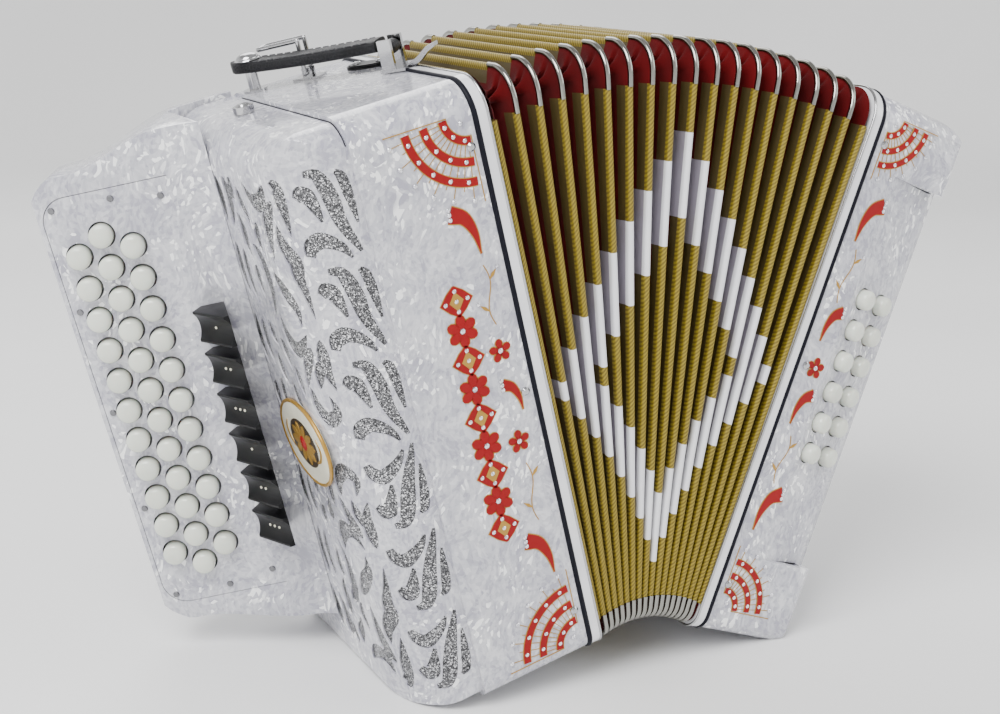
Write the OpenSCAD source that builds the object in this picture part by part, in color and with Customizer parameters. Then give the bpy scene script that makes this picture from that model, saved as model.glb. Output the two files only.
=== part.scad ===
// Three-row button accordion, standing on the outer bottom edges of its two
// bodies with the bellows opened like a fan. Millimetres, +Z up, X along the
// instrument, -Y towards the audience.
//
// The treble body is drawn in its own upright frame: x = 0 is the gasket plane,
// negative x is away from the bellows, y = 0 is the decorated front face and
// z = 0 the bottom. fan(a) turns about the hinge line that every fold and the
// bass body share, and stand() leans the whole instrument to where it rests.

/* [Casings] */
// height of both bodies
casing_h = 322; // [280:1:360]
// depth of both bodies, front to back
casing_d = 168; // [150:1:200]
// width of the treble body beside the grille
treble_w = 66; // [50:1:90]
// width of the bass body
bass_w = 68; // [50:1:90]
// wall thickness of the bodies
wall = 6; // [3:0.5:10]
// radius of the long upper edges
edge_r = 18; // [8:1:30]
// radius of the long lower edges
low_edge_r = 9; // [4:1:18]
// radius of the outer corners of the bass body
bass_corner_r = 22; // [8:1:32]
// radius of the upright outer edges of the bass body
bass_edge_r = 12; // [4:1:20]

/* [Bellows] */
// number of folds
fold_count = 17; // [17:1:17]
// distance between the two bodies with the bellows shut
shut_gap = 70; // [60:1:110]
// fan angle between the bodies in the resting pose
open_angle = 34.6; // [0:0.1:42]
// how far the fan's hinge line lies below the casings
hinge_drop = 13.7; // [0:0.1:60]
// thickness of the wooden frame at each end of the bellows
end_frame_t = 6.4; // [4:0.1:12]
// thickness of the rubber gasket under each end frame
gasket_t = 1.6; // [1:0.1:3]
// thickness of one folded card
fold_t = 2.4; // [1:0.1:2.5]
// depth of one fold, ridge to valley
fold_depth = 19; // [12:1:26]
// length of a chrome corner along each side of a ridge
corner_reach = 23; // [18:1:36]
// the same at the lower corners
low_reach = 15; // [10:1:20]

/* [Grille] */
// how far the grille cover bulges from the treble body
cover_out = 38; // [20:1:60]
// depth over which the bulge rounds off at the front
cover_turn = 52; // [20:1:80]
// sheet thickness of the grille cover
cover_t = 3; // [2:0.5:5]
// how far the cover stands in from the edges of the treble body
cover_step = 2.4; // [0:0.2:4]
// radius of the cover's top and bottom shoulders
cover_shoulder_r = 20; // [8:1:30]

/* [Keyboard] */
// spacing of the buttons along a row
button_pitch = 18; // [16:0.1:20]
// spacing of the three rows
row_gap = 14.7; // [13:0.1:18]
// diameter of a treble button
button_d = 12.8; // [10:0.1:16]
// how far a treble button stands above the plate
button_rise = 5.5; // [3:0.1:9]
// turn of the button plate towards the grille
plate_turn = -26.5; // [-40:0.5:0]
// pitch of the register switches
switch_pitch = 24; // [20:0.5:28]
// number of register switches
switch_count = 6; // [2:1:8]

/* [Bass side] */
// spacing of the bass buttons along a row
bass_pitch = 18.8; // [16:0.1:22]
// diameter of a bass button
bass_button_d = 12.4; // [8:0.1:16]
// how far the hand strap stands out from the end
hand_strap_out = 30; // [15:1:45]

/* [Hidden] */
$fn = 64;
hinge_x = shut_gap / 2;
hinge_z = -hinge_drop;
fold_zone = shut_gap - 2 * (end_frame_t + gasket_t);
// Share of the fan angle and of the bellows' length at which fold k stands.
function fold_share(k) = 0.01125 + 0.0543 * k;
fold_first = end_frame_t + gasket_t;
button_hole_d = button_d + 1.8;
bass_hole_d = bass_button_d + 0.8;
foot_r = 4;
bass_face_start = 20;
bass_face_slope = atan(0.30);
notch_low = 48;
notch_high = 280;
plate_at = [-161.6, 138.5, 174.6];
plate_left = -28.3;
plate_right = 42.0;
plate_half = 123;
plate_corner_r = 14;
plate_t = 2.4;
plate_sink = 2.4;
plate_face = plate_sink - plate_t;
cover_back = 160;
badge_r = 36;
badge_offset = 12;
strap_lift = 12;
strap_bow_r = 420;
hand_strap_y = 92;
hand_strap_w = 58;
hand_strap_half = 116.8;
air_button_d = 15;
air_at = [60, 226];

// The resting lean: the line that touches the treble body's lower outer edge
// and the bass body's lower outer corner is the floor.
treble_foot = [-treble_w - cover_out + foot_r, cover_step + foot_r];
bass_foot_arm = [shut_gap + bass_w - bass_corner_r - hinge_x, bass_corner_r + hinge_drop];
bass_foot = [
    hinge_x + cos(open_angle) * bass_foot_arm[0] + sin(open_angle) * bass_foot_arm[1],
    hinge_z - sin(open_angle) * bass_foot_arm[0] + cos(open_angle) * bass_foot_arm[1]
];
foot_span = bass_foot - treble_foot;
lean = atan2(-foot_span[1], foot_span[0])
    + asin((bass_corner_r - foot_r) / norm(foot_span));
floor_lift = foot_r - (sin(lean) * treble_foot[0] + cos(lean) * treble_foot[1]);
centre_shift = [0.634, -89.49];

pearl = [0.90, 0.90, 0.94];
ivory = [0.93, 0.93, 0.88];
black = [0.06, 0.06, 0.07];
gold = [0.62, 0.52, 0.18];
chrome = [0.78, 0.79, 0.82];
glitter = [0.62, 0.62, 0.64];
leather = [0.07, 0.07, 0.08];
wood = [0.62, 0.45, 0.28];

// ---------------------------------------------------------------- placement

// Leans the instrument to its resting pose and centres it on the origin.
module stand() {
    translate([centre_shift[0], centre_shift[1], floor_lift])
        rotate([0, -lean, 0])
            children();
}

// Turns a child about the line every fold and the bass body share.
module fan(angle) {
    translate([hinge_x, 0, hinge_z])
        rotate([0, angle, 0])
            translate([-hinge_x, 0, -hinge_z])
                children();
}

// The bass body's own frame: x = 0 is its gasket plane.
module bass_frame() {
    stand()
        fan(open_angle)
            translate([shut_gap, 0, 0])
                children();
}

// The button plate's frame: x along a row's width, y into the body, z up.
module plate_frame() {
    stand()
        translate(plate_at)
            rotate([0, 0, plate_turn])
                children();
}

// The slanted bass button panel's frame: x along the panel, y into the body.
module bass_panel_frame() {
    bass_frame()
        translate([bass_face_start, 0, 0])
            rotate([0, 0, bass_face_slope])
                children();
}

// ------------------------------------------------------------ shared shapes

// A rounded rectangle with one corner at the origin.
module round_rect(w, h, r) {
    translate([r, 0])
        square([w - 2 * r, h]);
    translate([0, r])
        square([w, h - 2 * r]);
    for (x = [r, w - r]) {
        for (y = [r, h - r]) {
            translate([x, y])
                circle(r = r);
        }
    }
}

// Extrudes a (y, z) profile along x.
module along_x(from, to) {
    translate([from, 0, 0])
        rotate([90, 0, 90])
            linear_extrude(to - from)
                children();
}

// Extrudes an (x, z) profile along y.
module along_y(from, to) {
    translate([0, to, 0])
        rotate([90, 0, 0])
            linear_extrude(to - from)
                children();
}

// The outline both casings and the bellows share, grown by d: its lower
// corners are tighter than its upper ones.
module casing_outline(d = 0) {
    w = casing_d + 2 * d;
    h = casing_h + 2 * d;
    r_top = max(edge_r + d, 2);
    r_low = max(low_edge_r + d, 2);
    translate([-d, -d]) {
        translate([0, r_low])
            square([w, h - r_low - r_top]);
        translate([r_low, 0])
            square([w - 2 * r_low, h / 2]);
        translate([r_top, h / 2])
            square([w - 2 * r_top, h / 2]);
        for (x = [r_low, w - r_low]) {
            translate([x, r_low])
                circle(r = r_low);
        }
        for (x = [r_top, w - r_top]) {
            translate([x, h - r_top])
                circle(r = r_top);
        }
    }
}

// A ring along x between two grown or shrunk copies of the shared outline.
module ring_along_x(from, to, d, inner) {
    difference() {
        along_x(from, to)
            casing_outline(d);
        along_x(from - 1, to + 1)
            casing_outline(-inner);
    }
}

// A rod between two points.
module rod(a, b, r) {
    v = b - a;
    translate(a)
        rotate([0, acos(v[2] / norm(v)), atan2(v[1], v[0])])
            cylinder(r = r, h = norm(v));
}

// -------------------------------------------------------------- treble body

module treble_casing() {
    color(pearl)
    stand()
    difference() {
        along_x(-treble_w, 0)
            casing_outline();
        along_x(-treble_w + wall, 1)
            casing_outline(-wall);
        // openings in the reed-plate wall, behind the grille
        along_x(-treble_w - 1, -treble_w + wall + 1)
            for (z = [40 : 62 : 240]) {
                translate([26, z])
                    round_rect(88, 48, 6);
            }
    }
}

module treble_reed_blocks() {
    color(wood)
    stand()
    for (x = [-52, -30]) {
        for (z = [26, 168]) {
            difference() {
                translate([x, 24, z])
                    cube([14, 120, 128]);
                for (k = [0 : 6]) {
                    translate([x - 1, 32, z + 8 + 17 * k])
                        cube([8, 104, 8]);
                }
            }
        }
    }
    // the rails the blocks stand on
    color(wood)
    stand()
    for (y = [34, 122]) {
        translate([-treble_w + wall, y, wall])
            cube([44, 10, casing_h - 2 * wall]);
    }
}

// A wooden frame at one end of the bellows.
module end_frame(from, to) {
    ring_along_x(from, to, 0.5, 13);
}

module treble_bellows_frame() {
    color(pearl)
    stand()
    end_frame(gasket_t, gasket_t + end_frame_t);
}

module treble_gasket() {
    color(black)
    stand()
    ring_along_x(0, gasket_t, 0.2, wall);
}

// Chrome pin heads that hold an end frame to its casing, front and back.
module frame_pins(x, z_list) {
    for (z = z_list) {
        translate([x, 0, z])
            rotate([90, 0, 0])
                pin_head();
        translate([x, casing_d, z])
            rotate([-90, 0, 0])
                pin_head();
    }
}

module pin_head() {
    cylinder(d = 4.6, h = 0.8);
    translate([0, 0, 0.8])
        cylinder(d1 = 4.6, d2 = 2.6, h = 0.9);
}

module treble_bellows_pins() {
    color(chrome)
    stand()
    frame_pins(-5, [28, 160, 291]);
}

// Plan outline of the grille cover, from the casing round to its back.
function cover_plan(inset) = concat(
    [[-treble_w, cover_step + inset]],
    [for (t = [0 : 7.5 : 90])
        [-treble_w - (cover_out - inset) * sin(t),
         cover_step + inset + (cover_turn - cover_step - inset) * (1 - cos(t))]],
    [[-treble_w - cover_out + inset, cover_back - inset],
     [-treble_w, cover_back - inset]]
);

// The cover's side profile, rounded at its top and bottom shoulders.
module cover_profile(inset) {
    r_top = cover_shoulder_r - inset;
    r_low = foot_r;
    left = -treble_w - cover_out + inset;
    low = cover_step + inset;
    high = casing_h - cover_step - inset;
    difference() {
        translate([left, low])
            square([cover_out - inset, high - low]);
        translate([left - 1, high - r_top])
            square([r_top + 1, r_top + 1]);
        translate([left - 1, low - 1])
            square([r_low + 1, r_low + 1]);
    }
    translate([left + r_top, high - r_top])
        circle(r = r_top);
    translate([left + r_low, low + r_low])
        circle(r = r_low);
}

module cover_solid(inset) {
    intersection() {
        translate([0, 0, cover_step + inset])
            linear_extrude(casing_h - 2 * (cover_step + inset))
                polygon(cover_plan(inset));
        along_y(-1, cover_back + 1)
            cover_profile(inset);
        along_x(-treble_w - cover_out - 1, -treble_w)
            casing_outline(-inset - cover_step);
    }
}

// One claw of the fretwork, root at the origin, tip at the end of its bend.
module claw(len, width, bend) {
    steps = 7;
    spine = [for (k = [0 : steps])
        let (t = k / steps)
        [bend * t * t, len * (1 - t)]];
    half = [for (k = [0 : steps])
        let (t = k / steps)
        width / 2 * pow(sin(180 * (0.16 + 0.84 * (1 - t))), 0.8)];
    polygon(concat(
        [for (k = [0 : steps]) [spine[k][0] - half[k] - 0.1, spine[k][1]]],
        [for (k = [0 : steps]) [spine[steps - k][0] + half[steps - k] + 0.1, spine[steps - k][1]]]
    ));
}

// One group of the fretwork: three claws that fan out and one lying under them.
module claw_group() {
    translate([6, 0])
        rotate(8)
            claw(40, 11, -12);
    translate([22, 10])
        rotate(6)
            claw(32, 8, -8);
    translate([-10, 8])
        rotate(16)
            claw(22, 7, -5);
    translate([-2, -6])
        rotate(78)
            claw(26, 7, 4);
}

// The fretwork on the flat of the cover: a vine of leaves on either side of
// the badge, mirrored about the middle.
module vine_cuts() {
    for (row = [0 : 4]) {
        for (col = [0 : 3]) {
            shift = (row % 2) * 9;
            translate([cover_turn + 6 + col * 24 + shift * 0.6, casing_h / 2 + 34 + row * 24])
                rotate(col % 2 == 0 ? 28 : -34)
                    claw(20, 7.5, col % 2 == 0 ? 5 : -5);
        }
    }
}

module side_cutter() {
    translate([-treble_w - cover_out - 6, 0, 0])
        rotate([90, 0, 90])
            linear_extrude(14)
                children();
}

module corner_cutter() {
    translate([-treble_w - cover_out * 0.36, cover_turn * 0.46, 0])
        rotate([0, 0, 42])
            translate([-40, 0, 0])
                rotate([90, 0, 90])
                    linear_extrude(34)
                        children();
}

module grille_cover() {
    color(pearl)
    stand()
    difference() {
        cover_solid(0);
        intersection() {
            cover_solid(cover_t);
            translate([-treble_w - cover_out, 0, 0])
                cube([cover_out + 1, casing_d, casing_h]);
        }
        translate([-treble_w - 1, cover_step + cover_t, cover_t + 15])
            cube([2, cover_back - cover_step - 2 * cover_t, casing_h - 2 * cover_t - 30]);
        for (side = [0, 1]) {
            translate([0, 0, side * casing_h])
                mirror([0, 0, side]) {
                    for (row = [0 : 2]) {
                        corner_cutter()
                            translate([-12, 25 + 48 * row])
                                mirror([0, 1])
                                    translate([0, -30])
                                        claw_group();
                    }
                }
        }
        side_cutter()
            vine_cuts();
        side_cutter()
            translate([0, casing_h])
                mirror([0, 1])
                    vine_cuts();
    }
}

module grille_screen() {
    color(glitter)
    stand()
    difference() {
        cover_solid(cover_t + 0.4);
        cover_solid(cover_t + 1.4);
        translate([-treble_w - 1, -1, -1])
            cube([10, casing_d + 2, casing_h + 2]);
    }
}

module grille_badge() {
    color([0.90, 0.86, 0.72])
    stand()
    translate([-treble_w - cover_out - 2.2, 68, 150])
        rotate([90, 0, 90])
            linear_extrude(2.2)
                intersection() {
                    translate([0, -badge_offset])
                        circle(r = badge_r);
                    translate([0, badge_offset])
                        circle(r = badge_r);
                }
}

module thumbscrew() {
    cylinder(d = 8, h = 0.6);
    translate([0, 0, 0.6])
        cylinder(d = 11, h = 3.6);
    translate([0, 0, 4.2])
        cylinder(d1 = 8, d2 = 6, h = 1.0);
}

// Knurled screws that hold the grille cover, above and below.
module grille_thumbscrews() {
    color(chrome)
    stand() {
        translate([-80, 101, casing_h - cover_step])
            thumbscrew();
        translate([-74, 101, cover_step])
            rotate([180, 0, 0])
                thumbscrew();
    }
}

// -------------------------------------------------------------- keyboard

// Smooth step from 0 to 1.
function ease(t) = t <= 0 ? 0 : t >= 1 ? 1 : t * t * (3 - 2 * t);
function shoulder_top(u) = 128 + 6 * ease((u + 30) / 12) + 13.4 * ease((u + 8) / 52);
function shoulder_low(u) = -127 - 7 * ease((u + 30) / 14) - 13 * ease((u + 12) / 64);

// Outline of the fingerboard seen square to the plate, with S-shaped shoulders
// that run into the casing.
function board_outline() = concat(
    [for (u = [-31 : 4 : 97]) [u, shoulder_top(u) - 5 * ease((-26 - u) / 5)]],
    [for (u = [97 : -4 : -31]) [u, shoulder_low(u) + 5 * ease((-26 - u) / 5)]]
);

// Plan of the fingerboard: the plate's plane, a hollow curve up to the grille
// and a flat back.
board_plan = [
    [-189, 152], [-186, 150.6], [-120.5, 118], [-113.5, 114], [-108.6, 109.6],
    [-105.6, 105.8], [-104.3, 103.8], [-98, 103.8], [-98, 163], [-66.2, 163],
    [-66.2, 168], [-178, 171], [-188, 166]
];

module board_solid() {
    intersection() {
        linear_extrude(casing_h)
            polygon(board_plan);
        translate(plate_at)
            rotate([0, 0, plate_turn])
                along_y(-60, 90)
                    polygon(board_outline());
    }
}

// Centres of the buttons of one row, in plate coordinates.
function row_x(row) = (row - 1) * row_gap;
function row_n(row) = row == 1 ? 12 : 11;
function row_points(row) =
    [for (k = [0 : row_n(row) - 1])
        [row_x(row), ((row_n(row) - 1) / 2 - k) * button_pitch]];

module fingerboard() {
    color(pearl)
    difference() {
        stand()
            difference() {
                board_solid();
                // the room for the cover's own rear wall
                translate([-treble_w - cover_out - 0.2, 40, -1])
                    cube([cover_out + 40, cover_back - 40 + 0.2, casing_h + 2]);
            }
        // the well below the button plate
        plate_frame()
            translate([plate_left + 5, -1, -plate_half + 6])
                cube([plate_right - plate_left - 22, 13, 2 * plate_half - 12]);
        // the flat the plate lies in
        plate_frame()
            along_y(-20, plate_sink)
                plate_outline(0);
        // the slot the register rail lies in
        plate_frame()
            translate([rail_left, -6, rail_low])
                cube([rail_w, 6 + rail_deep, rail_high - rail_low]);
    }
}

// The plate's outline, shrunk by gap: rounded on the left, square where it
// runs up to the switches.
module plate_outline(gap) {
    half = plate_half - gap;
    left = plate_left + gap;
    translate([left, -half])
        round_rect(40, 2 * half, plate_corner_r);
    translate([left + 20, -half])
        square([plate_right - left - 20, 2 * half]);
}

module button_plate() {
    color(pearl)
    plate_frame()
    difference() {
        along_y(plate_face, plate_sink)
            plate_outline(0.4);
        for (row = [0 : 2]) {
            for (p = row_points(row)) {
                translate([p[0], 20, p[1]])
                    rotate([90, 0, 0])
                        cylinder(d = button_hole_d, h = 40);
            }
        }
    }
}

module plate_screws() {
    color(chrome)
    plate_frame()
    for (p = [[-22, 117], [10, 117], [36, 113], [-24, 60], [-24, 0], [-24, -60],
              [-22, -117], [10, -117], [36, -113]]) {
        translate([p[0], plate_face, p[1]])
            rotate([90, 0, 0])
                cylinder(d1 = 3.8, d2 = 3.0, h = 0.9);
    }
}

// A row of buttons joined by the bar that carries them under the plate.
module button_row(row) {
    plate_frame() {
        for (p = row_points(row)) {
            translate([p[0], 7, p[1]])
                rotate([90, 0, 0]) {
                    cylinder(d = button_d, h = 6.4 + button_rise);
                    translate([0, 0, 6.4 + button_rise])
                        cylinder(d1 = button_d, d2 = button_d - 2.4, h = 1.2);
                }
        }
        n = row_n(row);
        translate([row_x(row) - 2.5, 6.5, -(n - 1) / 2 * button_pitch])
            cube([5, 2, (n - 1) * button_pitch]);
    }
}

module treble_buttons_outer() {
    color(ivory)
    button_row(0);
}

module treble_buttons_middle() {
    color(ivory)
    button_row(1);
}

module treble_buttons_inner() {
    color(ivory)
    button_row(2);
}

function switch_z(k) = 41.4 - switch_pitch * (k - 1);

// The register rail: a slim strip set flush into the board beside the plate.
rail_left = 42.8;
rail_w = 10.4;
rail_deep = 4.2;
rail_high = switch_z(1) + 11;
rail_low = switch_z(switch_count) - 11;
switch_axis_y = 0.2;
switch_half = 8.7;
switch_scoop = 3.0;

module register_rail() {
    color(pearl)
    plate_frame()
    difference() {
        translate([rail_left, -0.2, rail_low])
            cube([rail_w, rail_deep + 0.2, rail_high - rail_low]);
        for (k = [1 : switch_count]) {
            translate([rail_left + 1, -2, switch_z(k) - 3.6])
                cube([rail_w - 2, 2 + rail_deep - 1.2, 7.2]);
        }
    }
}

// The (x, y) section of a switch: it leans out over the rail, and its broad
// face looks away from the grille.
switch_section = [[40.2, -1.9], [36.5, -9.0], [56.4, -29.6], [59.2, -28.7], [52.9, -1.9]];
switch_face = [switch_section[2][0] - switch_section[1][0],
               switch_section[2][1] - switch_section[1][1]];

// One rocking register switch: a leaning block with a scooped face, on a pin.
module register_switch(k) {
    scoop_half = switch_half - 1.3;
    scoop_r = (pow(scoop_half, 2) + pow(switch_scoop, 2)) / (2 * switch_scoop);
    color(black)
    plate_frame()
    translate([0, 0, switch_z(k)]) {
        difference() {
            translate([0, 0, -switch_half])
                linear_extrude(2 * switch_half)
                    polygon(switch_section);
            // the scoop for the fingertip
            translate([switch_section[1][0], switch_section[1][1], 0])
                rotate([0, 0, atan2(switch_face[1], switch_face[0])])
                    translate([-10, switch_scoop - scoop_r, 0])
                        rotate([0, 90, 0])
                            cylinder(r = scoop_r, h = norm(switch_face) + 20);
        }
        // the neck and the pin it rocks on
        translate([rail_left + 1.6, -2.4, -1.4])
            cube([rail_w - 3.2, 2.6, 2.8]);
        translate([rail_left + 1.6, switch_axis_y, 0])
            rotate([0, 90, 0])
                cylinder(r = 2.2, h = rail_w - 3.2);
    }
}

// -------------------------------------------------- strap and its fittings

strap_from = [-1, 80, casing_h + strap_lift];
strap_to = [-66, 147, casing_h + strap_lift + 2];

// Frame with x along the parked bellows strap, z up.
module strap_frame() {
    stand()
        translate(strap_from)
            rotate([0, 0, atan2(strap_to[1] - strap_from[1], strap_to[0] - strap_from[0])])
                children();
}

strap_len = norm([strap_to[0] - strap_from[0], strap_to[1] - strap_from[1]]);

module bellows_strap() {
    color(leather)
    strap_frame()
    difference() {
        union() {
            translate([6, -8, 0])
                cube([strap_len - 14, 16, 3.4]);
            translate([strap_len - 8, 0, 0])
                cylinder(r = 8, h = 3.4);
            // the eye the clip's pin runs through
            rotate([90, 0, 0])
                translate([0, 1.7, -5])
                    cylinder(r = 3.6, h = 10);
            translate([0, -5, 0])
                cube([8, 10, 3.4]);
        }
        rotate([90, 0, 0])
            translate([0, 1.7, -9])
                cylinder(d = 2.9, h = 18);
        translate([strap_len - 10, 0, -1])
            cylinder(d = 6.4, h = 8);
    }
}

module strap_clip() {
    color(chrome)
    strap_frame() {
        // the pin and the two ears that hold it
        rotate([90, 0, 0])
            translate([0, 1.7, -9])
                cylinder(d = 2.84, h = 18);
        for (y = [-9, 6.4]) {
            translate([-3.6, y, 0.6 - strap_lift])
                cube([7.2, 2.6, strap_lift + 4.7]);
        }
        translate([-9, -9, 0.6 - strap_lift])
            cube([14, 18, 1.6]);
        // the hook that reaches over the end frame
        along_y(-3, 3)
            polygon([[-8, 0.8 - strap_lift], [-12, 0.8 - strap_lift], [-16, 3.4 - strap_lift],
                     [-21, 7.6 - strap_lift], [-25, 9.6 - strap_lift], [-25, 11.6 - strap_lift],
                     [-20, 10.0 - strap_lift], [-14, 5.4 - strap_lift], [-8, 2.6 - strap_lift]]);
    }
}

module strap_parking_stud() {
    color(chrome)
    strap_frame()
    translate([strap_len - 10, 0, -strap_lift]) {
        cylinder(d = 13, h = 1.4);
        cylinder(d = 6.5, h = strap_lift - 0.6);
        cylinder(d = 4.6, h = strap_lift + 4.4);
        translate([0, 0, strap_lift + 4.2])
            cylinder(d1 = 5.2, d2 = 3.6, h = 1.6);
    }
}

// The wire loop stands behind the parked strap; its pivot is loop_at.
loop_at = [57, -14.5, 3.4 - strap_lift];
loop_half = 4.5;
loop_rise = 18;
loop_reach = 24;
loop_wire_r = 1.3;

module strap_bracket() {
    color(chrome)
    strap_frame()
    translate([loop_at[0], loop_at[1], -strap_lift]) {
        translate([-8, -5, 0])
            cube([16, 10, 1.2]);
        // the two ears the wire loop swings in
        difference() {
            for (y = [-3, 1.4]) {
                translate([-2.6, y, 0])
                    cube([5.2, 1.6, 6]);
            }
            rotate([90, 0, 0])
                translate([0, 3.4, -6])
                    cylinder(r = loop_wire_r + 0.15, h = 12);
        }
    }
}

// The bent wire loop a shoulder strap hooks into; it swings in the bracket's
// ears, and at rest its end lies beside the parking stud.
module strap_loop() {
    color(chrome)
    strap_frame()
    translate(loop_at) {
        rod([0, -loop_half, 0], [0, loop_half, 0], loop_wire_r);
        for (s = [-1, 1]) {
            y = s * loop_half;
            rod([0, y, 0], [0, y, loop_rise], loop_wire_r);
            rod([0, y, loop_rise], [loop_reach, y, loop_rise - 1.6], loop_wire_r);
            for (p = [[0, 0], [0, loop_rise], [loop_reach, loop_rise - 1.6]]) {
                translate([p[0], y, p[1]])
                    sphere(r = loop_wire_r);
            }
        }
        rod([loop_reach, -loop_half, loop_rise - 1.6],
            [loop_reach, loop_half, loop_rise - 1.6], loop_wire_r);
    }
}

// The lower shoulder-strap loop, on the back of the treble body.
module lower_strap_loop() {
    color(chrome)
    stand()
    translate([-34, casing_d, 40]) {
        translate([-12, 0, -10])
            cube([24, 1.6, 20]);
        for (s = [-1, 1]) {
            translate([s * 10, 0.8, 0])
                rotate([-90, 0, 0])
                    cylinder(r = 1.4, h = 12);
        }
        translate([-12, 12, 0])
            rotate([0, 90, 0])
                cylinder(r = 1.5, h = 24);
    }
}

// ------------------------------------------------------------------ bellows

// One fold: a stiff card ring with a chrome corner over each of its corners.
module fold(k) {
    stand()
    fan(open_angle * fold_share(k))
    translate([fold_first + fold_zone * fold_share(k), 0, 0]) {
        color(gold)
        ring_along_x(-fold_t / 2 + 0.2, fold_t / 2 - 0.2, -0.8, fold_depth);
        // chrome corner protectors, proud of the ridge
        color(chrome)
        intersection() {
            ring_along_x(-fold_t / 2, fold_t / 2, 0.4, 3.4);
            for (y = [-5, casing_d - corner_reach]) {
                translate([-fold_t, y, -5])
                    cube([2 * fold_t, corner_reach + 5, low_reach + 5]);
                translate([-fold_t, y, casing_h - corner_reach])
                    cube([2 * fold_t, corner_reach + 5, corner_reach + 5]);
            }
        }
    }
}

module fold_01() { fold(1); }
module fold_02() { fold(2); }
module fold_03() { fold(3); }
module fold_04() { fold(4); }
module fold_05() { fold(5); }
module fold_06() { fold(6); }
module fold_07() { fold(7); }
module fold_08() { fold(8); }
module fold_09() { fold(9); }
module fold_10() { fold(10); }
module fold_11() { fold(11); }
module fold_12() { fold(12); }
module fold_13() { fold(13); }
module fold_14() { fold(14); }
module fold_15() { fold(15); }
module fold_16() { fold(16); }
module fold_17() { fold(17); }

// ---------------------------------------------------------------- bass body

// The bass body's outline in (x, z), rounded at its two outer corners.
module bass_profile(inset) {
    r = bass_corner_r - inset;
    w = bass_w - inset;
    translate([0, inset])
        square([w - r, casing_h - 2 * inset]);
    translate([0, inset + r])
        square([w, casing_h - 2 * inset - 2 * r]);
    for (z = [inset + r, casing_h - inset - r]) {
        translate([w - r, z])
            circle(r = r);
    }
}

// The bass body's plan in (x, y), rounded at its two upright outer edges.
module bass_plan(inset) {
    r = bass_edge_r - inset;
    w = bass_w - inset;
    translate([-1, inset])
        square([w + 1 - r, casing_d - 2 * inset]);
    translate([-1, inset + r])
        square([w + 1, casing_d - 2 * inset - 2 * r]);
    for (y = [inset + r, casing_d - inset - r]) {
        translate([w - r, y])
            circle(r = r);
    }
}

module bass_solid(inset) {
    intersection() {
        translate([0, 0, -1])
            linear_extrude(casing_h + 2)
                bass_plan(inset);
        along_x(0, bass_w - inset)
            casing_outline(-inset);
        along_y(-1, casing_d + 1)
            bass_profile(inset);
    }
}

// The wedge cut from the front of the bass body for the slanted button panel.
module panel_wedge(depth) {
    translate([bass_face_start, depth, notch_low])
        rotate([0, 0, bass_face_slope])
            translate([0, -60, 0])
                cube([90, 60, notch_high - notch_low]);
}

bass_top_z = 209;
bass_rows = 6;
function bass_col_x(col) = [13.5, 33.0][col];
function bass_col_points(col) =
    [for (k = [0 : bass_rows - 1]) [bass_col_x(col), bass_top_z - bass_pitch * k]];

module bass_casing() {
    color(pearl)
    difference() {
        bass_frame()
            difference() {
                bass_solid(0);
                difference() {
                    translate([-1, 0, 0])
                        bass_solid(wall);
                    panel_wedge(wall);
                }
                panel_wedge(0);
            }
        // the hole the air button works in
        bass_frame()
            translate([bass_w - wall - 1, air_at[0], air_at[1]])
                rotate([0, 90, 0])
                    cylinder(d = air_button_d + 1, h = wall + 2);
        for (col = [0, 1]) {
            for (p = bass_col_points(col)) {
                bass_panel_frame()
                    translate([p[0], 12, p[1]])
                        rotate([90, 0, 0])
                            cylinder(d = bass_hole_d, h = 16);
            }
        }
    }
}

module bass_reed_block() {
    color(wood)
    bass_frame() {
        difference() {
            translate([14, 70, 60])
                cube([22, 70, 190]);
            for (k = [0 : 8]) {
                translate([13, 80, 70 + 20 * k])
                    cube([10, 50, 9]);
            }
        }
        // the posts that carry the block
        translate([18, 96, wall])
            cube([14, 20, 60 - wall]);
        translate([18, 96, 250])
            cube([14, 20, casing_h - wall - 250]);
    }
}

module bass_bellows_frame() {
    color(pearl)
    bass_frame()
    end_frame(-gasket_t - end_frame_t, -gasket_t);
}

module bass_gasket() {
    color(black)
    bass_frame()
    ring_along_x(-gasket_t, 0, 0.2, wall);
}

module bass_bellows_pins() {
    color(chrome)
    bass_frame()
    frame_pins(6, [30, 163, 294]);
}

module bass_button_column(col) {
    bass_panel_frame() {
        for (p = bass_col_points(col)) {
            translate([p[0], 9, p[1]])
                rotate([90, 0, 0]) {
                    cylinder(d = bass_button_d, h = 13);
                    translate([0, 0, 13])
                        cylinder(d1 = bass_button_d, d2 = bass_button_d - 2.6, h = 1.2);
                }
        }
        translate([bass_col_x(col) - 2.5, 8.6, bass_top_z - bass_pitch * (bass_rows - 1)])
            cube([5, 2, bass_pitch * (bass_rows - 1)]);
    }
}

module bass_buttons_front() {
    color(ivory)
    bass_button_column(0);
}

module bass_buttons_end() {
    color(ivory)
    bass_button_column(1);
}

// The hand strap: a leather band that bows out from the end of the bass body.
module hand_strap() {
    color(leather)
    bass_frame()
    translate([bass_w + hand_strap_out - strap_bow_r, hand_strap_y, casing_h / 2])
        intersection() {
            rotate([-90, 0, 0])
                difference() {
                    cylinder(r = strap_bow_r, h = hand_strap_w, $fn = 180);
                    translate([0, 0, -1])
                        cylinder(r = strap_bow_r - 4, h = hand_strap_w + 2, $fn = 180);
                }
            translate([strap_bow_r - 30, -1, -hand_strap_half])
                cube([40, hand_strap_w + 2, 2 * hand_strap_half]);
        }
}

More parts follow.
